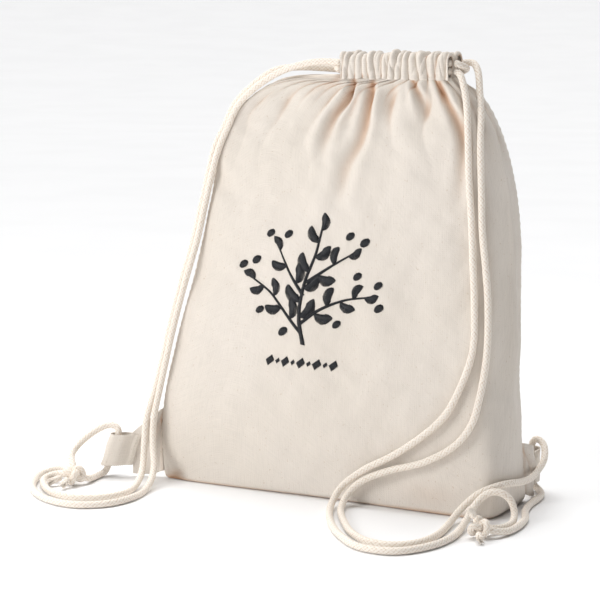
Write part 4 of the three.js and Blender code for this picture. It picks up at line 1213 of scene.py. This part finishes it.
def make_bottom_seam(name, material):
    """The stitches that join the two panels under the bag."""
    line = base_seam(np.linspace(0.02, 0.98, 200))
    line[:, 2] = 0.0018
    threads = []
    for k in range(2, 196, 2):
        dash = line[k:k + 2] + np.array([0, 0, 0.0003])
        middle = (dash[0] + dash[1]) / 2 + (0, 0, 0.0002)
        threads.append(thread_tube(np.array([dash[0], middle, dash[1]]), 0.0004, 5))
    dress(merge_threads(name + "_stitches", threads), material, "bag", "white_thread", name)


# ---- Embroidery: a sprig of leaves and berries, with a small garland under it ----
def satin(outline_half, centre_line, thread_gap, local):
    """Stitches across a leaf or stem, from one edge to the other, in the front view."""
    dense = curve_at(centre_line, np.linspace(0, 1, 80))[:, :2]
    along = length_along(dense)
    stitches = []
    for s in np.arange(0, along[-1], thread_gap):
        point = np.array([np.interp(s, along, dense[:, k]) for k in (0, 1)])
        ahead = np.array([np.interp(min(s + 0.001, along[-1]), along, dense[:, k]) for k in (0, 1)]) - point
        direction = ahead / (np.linalg.norm(ahead) + 1e-9)
        if np.linalg.norm(ahead) < 1e-6:
            continue
        half = outline_half(s / along[-1]) * local.uniform(0.93, 1.05)
        if half < 0.0002:
            continue
        across = np.array([-direction[1], direction[0]]) * 0.93 + direction * 0.37
        stitches.append((point - across * half, point + across * half, half))
    return stitches


SATIN_GAP = 0.00056           # from one satin stitch to the next


def leaf(width):
    """Half the width of a leaf, from its root at 0 to its tip at 1."""
    return lambda t: width * math.sin(math.pi * min(1, t * 0.97 + 0.03)) ** 0.75


def stem(width):
    return lambda t: width * (1 - 0.55 * t)


def ball(radius):
    return lambda t: radius * math.sqrt(max(0.0, 1 - (2 * t - 1) ** 2))


def diamond(size):
    return lambda t: size * (1 - abs(2 * t - 1)) * 0.95 + 0.0002


def sprig_stitches():
    """Every stitch of the sprig as (start, end, half length) in the front view, x and z in metres."""
    local = np.random.default_rng(77)
    stitches = []
    stems = [
        [(-0.030, 0.140, 0), (-0.036, 0.165, 0), (-0.034, 0.192, 0), (-0.024, 0.222, 0), (-0.020, 0.246, 0)],
        [(-0.033, 0.150, 0), (-0.050, 0.166, 0), (-0.068, 0.184, 0), (-0.088, 0.196, 0)],
        [(-0.035, 0.158, 0), (-0.016, 0.172, 0), (0.008, 0.182, 0), (0.030, 0.186, 0)],
        [(-0.034, 0.184, 0), (-0.050, 0.204, 0), (-0.062, 0.224, 0)],
        [(-0.031, 0.196, 0), (-0.010, 0.210, 0), (0.010, 0.222, 0)],
    ]
    for k, line in enumerate(stems):
        stitches += satin(stem(0.0017 if k else 0.0023), np.array(line), SATIN_GAP, local)
    for k, line in enumerate(stems):
        count = (7, 5, 5, 3, 3)[k]
        for j in range(count):
            t = 0.24 + 0.72 * j / max(1, count - 1)
            root, after, before = (curve_at(np.array(line), [at])[0]
                                   for at in (t, min(1, t + 0.03), t - 0.03))
            ahead = unit(after - before)
            side = 1 if j % 2 else -1
            angle = side * (0.85 - 0.25 * t)
            c, s = math.cos(angle), math.sin(angle)
            way = np.array([ahead[0] * c - ahead[1] * s, ahead[0] * s + ahead[1] * c, 0])
            if j == count - 1:
                way = ahead
            size = (0.0240 - 0.007 * t) * (1.0 if k == 0 else 0.88)
            bend = np.array([-way[1], way[0], 0]) * size * 0.14 * side
            ribs = [root + way * size * 0.08, root + way * size * 0.5 + bend, root + way * size]
            stitches += satin(leaf(size * 0.27), np.array(ribs), SATIN_GAP, local)
    berries = [(-0.100, 0.208), (-0.086, 0.213), (0.041, 0.197), (0.043, 0.177),
               (-0.073, 0.238), (-0.054, 0.238), (0.024, 0.234), (0.009, 0.239),
               (-0.052, 0.150), (0.002, 0.160), (-0.078, 0.168), (0.020, 0.204)]
    for x, z in berries:
        radius = local.uniform(0.0038, 0.0046)
        ribs = np.array([(x - radius, z, 0), (x, z + 0.0002, 0), (x + radius, z, 0)])
        stitches += satin(ball(radius), ribs, SATIN_GAP, local)
    return stitches


def garland_stitches():
    """Every stitch of the row of diamonds, given as the sprig's are."""
    local = np.random.default_rng(78)
    stitches = []
    for k in range(9):
        x = -0.064 + k * 0.00825
        size = 0.0056 if k % 2 == 0 else 0.0028
        ribs = np.array([(x - size * 0.8, 0.123, 0), (x, 0.123, 0), (x + size * 0.8, 0.123, 0)])
        stitches += satin(diamond(size), ribs, SATIN_GAP, local)
    return stitches


def sew(name, stitches, tree, material, node):
    """Lays satin threads on the cloth, each raised in its middle."""
    threads = []
    for (ax, az), (bx, bz), half in stitches:
        line = []
        for t in np.linspace(0, 1, 5 if half > 0.0012 else 3):
            x, z = ax + (bx - ax) * t, az + (bz - az) * t
            hit, _, _, _ = tree.ray_cast(Vector((x, -0.3, z)), Vector((0, 1, 0)))
            if hit is None:
                continue
            lift = 0.00005 + min(0.0009, 0.00035 + half * 0.18) * math.sin(math.pi * t) ** 0.6
            line.append((x, hit.y - lift, z))
        if len(line) > 2:
            threads.append(thread_tube(np.array(line), 0.00029, 5))
    return dress(merge_threads(name, threads), material, "bag", "black_thread", node)


# ---- Assembly ----
add_camera()
add_studio()
CANVAS = canvas_material()
ROPE = rope_material()
TAPE = tape_material()
WHITE = thread_material("white thread", (0.74, 0.69, 0.60), (0.90, 0.86, 0.78), 0.6, 0.1)
BLACK = thread_material("black satin thread", (0.003, 0.0035, 0.005), (0.016, 0.018, 0.024), 0.36, 0.0)

ROUTES = {
    "left_front": LEFT_FRONT_ROUTE, "left_back": LEFT_BACK_ROUTE,
    "right_front": RIGHT_FRONT_ROUTE, "right_back": RIGHT_BACK_ROUTE,
}
KNOTS = {
    "left": make_knot("left_knot", LEFT_KNOT, 0.4, 0.25, ROPE, "left_strap"),
    "right": make_knot("right_knot", RIGHT_KNOT, 1.3, 0.35, ROPE, "right_strap"),
}
TAILS = {"left": [], "right": []}
for side, routes in (("left", LEFT_TAILS), ("right", RIGHT_TAILS)):
    for k, route in enumerate(routes):
        TAILS[side] += make_tail(f"{side}_tail_{k + 1}", route, ROPE, f"{side}_strap", 31 + k + len(side))

CENTRES = {"left": LEFT_KNOT, "right": RIGHT_KNOT}


def into_knot(end, side):
    """A point that carries a rope's end on into its knot."""
    return tuple(np.array(end) + (np.array(CENTRES[side]) - np.array(end)) * 0.62)


paths = {}
for name, route in ROUTES.items():
    side, ply = name.split("_")
    route = route + [into_knot(route[-1], side)]
    path, length = eased_path(route, ROPE_STEP, ROPE_EASE)
    paths[name] = path
    strand = rope_mesh(f"{name}_strand", path, ROPE, seed=len(paths))
    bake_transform(strand)
    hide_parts(f"{name}_lead", f"{name}_strap")

loop_route = [into_knot(LEFT_LOOP_ROUTE[0], "left"), *LEFT_LOOP_ROUTE, into_knot(LEFT_LOOP_ROUTE[-1], "left")]
path, length = eased_path(loop_route, ROPE_STEP, ROPE_EASE)
paths["loop"] = path
loop = rope_mesh("left_tab_rope", path, ROPE, seed=8)
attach(loop, "left_strap")
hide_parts("left_tab_cord")

TURN_BULGE = 0.006
for name, x, front_z, back_z, way in (
        ("left_cord_turn", HEM_X[1] + 0.003, UPPER_RUN_Z, LOWER_RUN_Z, 1),
        ("right_cord_turn", HEM_X[0] - 0.003, LOWER_RUN_Z, UPPER_RUN_Z, -1)):
    turn = [(x - way * 0.001, FRONT_RUN_Y, front_z)]
    for k in range(7):
        a = math.pi * k / 6
        y = FRONT_RUN_Y + (BACK_RUN_Y - FRONT_RUN_Y) * (1 - math.cos(a)) / 2
        turn.append((x + way * TURN_BULGE * math.sin(a), y, front_z + (back_z - front_z) * k / 6))
    turn.append((x - way * 0.001, BACK_RUN_Y, back_z))
    line, length = even_path(turn, ROPE_STEP)
    piece = rope_mesh(name + "_rope", line, ROPE, seed=14)
    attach(piece, "bag")
    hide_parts(name)

for name, y, z, body in (
        ("left_cord_front_run", FRONT_RUN_Y, UPPER_RUN_Z, "front_lip"),
        ("right_cord_front_run", FRONT_RUN_Y, LOWER_RUN_Z, "front_lip"),
        ("left_cord_back_run", BACK_RUN_Y, LOWER_RUN_Z, "back_lip"),
        ("right_cord_back_run", BACK_RUN_Y, UPPER_RUN_Z, "back_lip")):
    low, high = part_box(name)
    run, length = even_path([(low[0], y, z), (0.0375, y, z), (high[0], y, z)], ROPE_STEP)
    piece = rope_mesh(name + "_rope", run, ROPE, seed=12)
    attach(piece, body)
    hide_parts(name)

pressing = [p[::3] for p in paths.values()]
front, front_grid = make_panel("front_cloth", 0, GUIDES // 2, True, pressing, CANVAS, "front_panel")
back, _ = make_panel("back_cloth", GUIDES // 2, GUIDES, False, pressing, CANVAS, "back_panel")
front_hem = make_hem("front_hem", True, "front_lip", CANVAS, "front_casing")
back_hem = make_hem("back_hem", False, "back_lip", CANVAS, "back_casing")
front_row = hem_stitches("front_hem_stitches", True, "front_lip", WHITE, "front_casing_stitching")
back_row = hem_stitches("back_hem_stitches", False, "back_lip", WHITE, "back_casing_stitching")
LEFT_BEND, LEFT_TIP = (-0.189, -0.040), (-0.206, -0.0475)
RIGHT_BEND, RIGHT_TIP = (0.164, 0.0445), (0.160, 0.0555)
CORNER_LOW = 0.003            # a corner's lower edge above the floor
LEFT_TOPS, RIGHT_TOPS = (0.066, 0.058, 0.043), (0.054, 0.050, 0.043)   # upper edge at its root, bend and tip
left_corner = make_corner("left_corner", 0, LEFT_BEND, LEFT_TIP, CORNER_LOW, LEFT_TOPS, CANVAS)
right_corner = make_corner("right_corner", GUIDES // 2, RIGHT_BEND, RIGHT_TIP, CORNER_LOW, RIGHT_TOPS, CANVAS)
left_tab, left_tab_rows, left_tab_length = make_tab("left_tab", LEFT_BEND, LEFT_TIP, 0.33, TAPE, WHITE)
right_tab, right_tab_rows, right_tab_length = make_tab("right_tab", RIGHT_BEND, RIGHT_TIP, 0.0, TAPE, WHITE)
make_side_seam("left_side_seam", 0, CANVAS, WHITE)
make_side_seam("right_side_seam", GUIDES // 2, CANVAS, WHITE)
make_bottom_seam("bottom_seam", WHITE)

tree = BVHTree.FromPolygons([tuple(p) for p in front_grid.reshape(-1, 3)],
                            grid_faces(*front_grid.shape[:2]).tolist())
motif = sew("embroidery_sprig", sprig_stitches(), tree, BLACK, "embroidered_motif")
bar = sew("embroidery_garland", garland_stitches(), tree, BLACK, "embroidered_bar")

low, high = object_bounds()
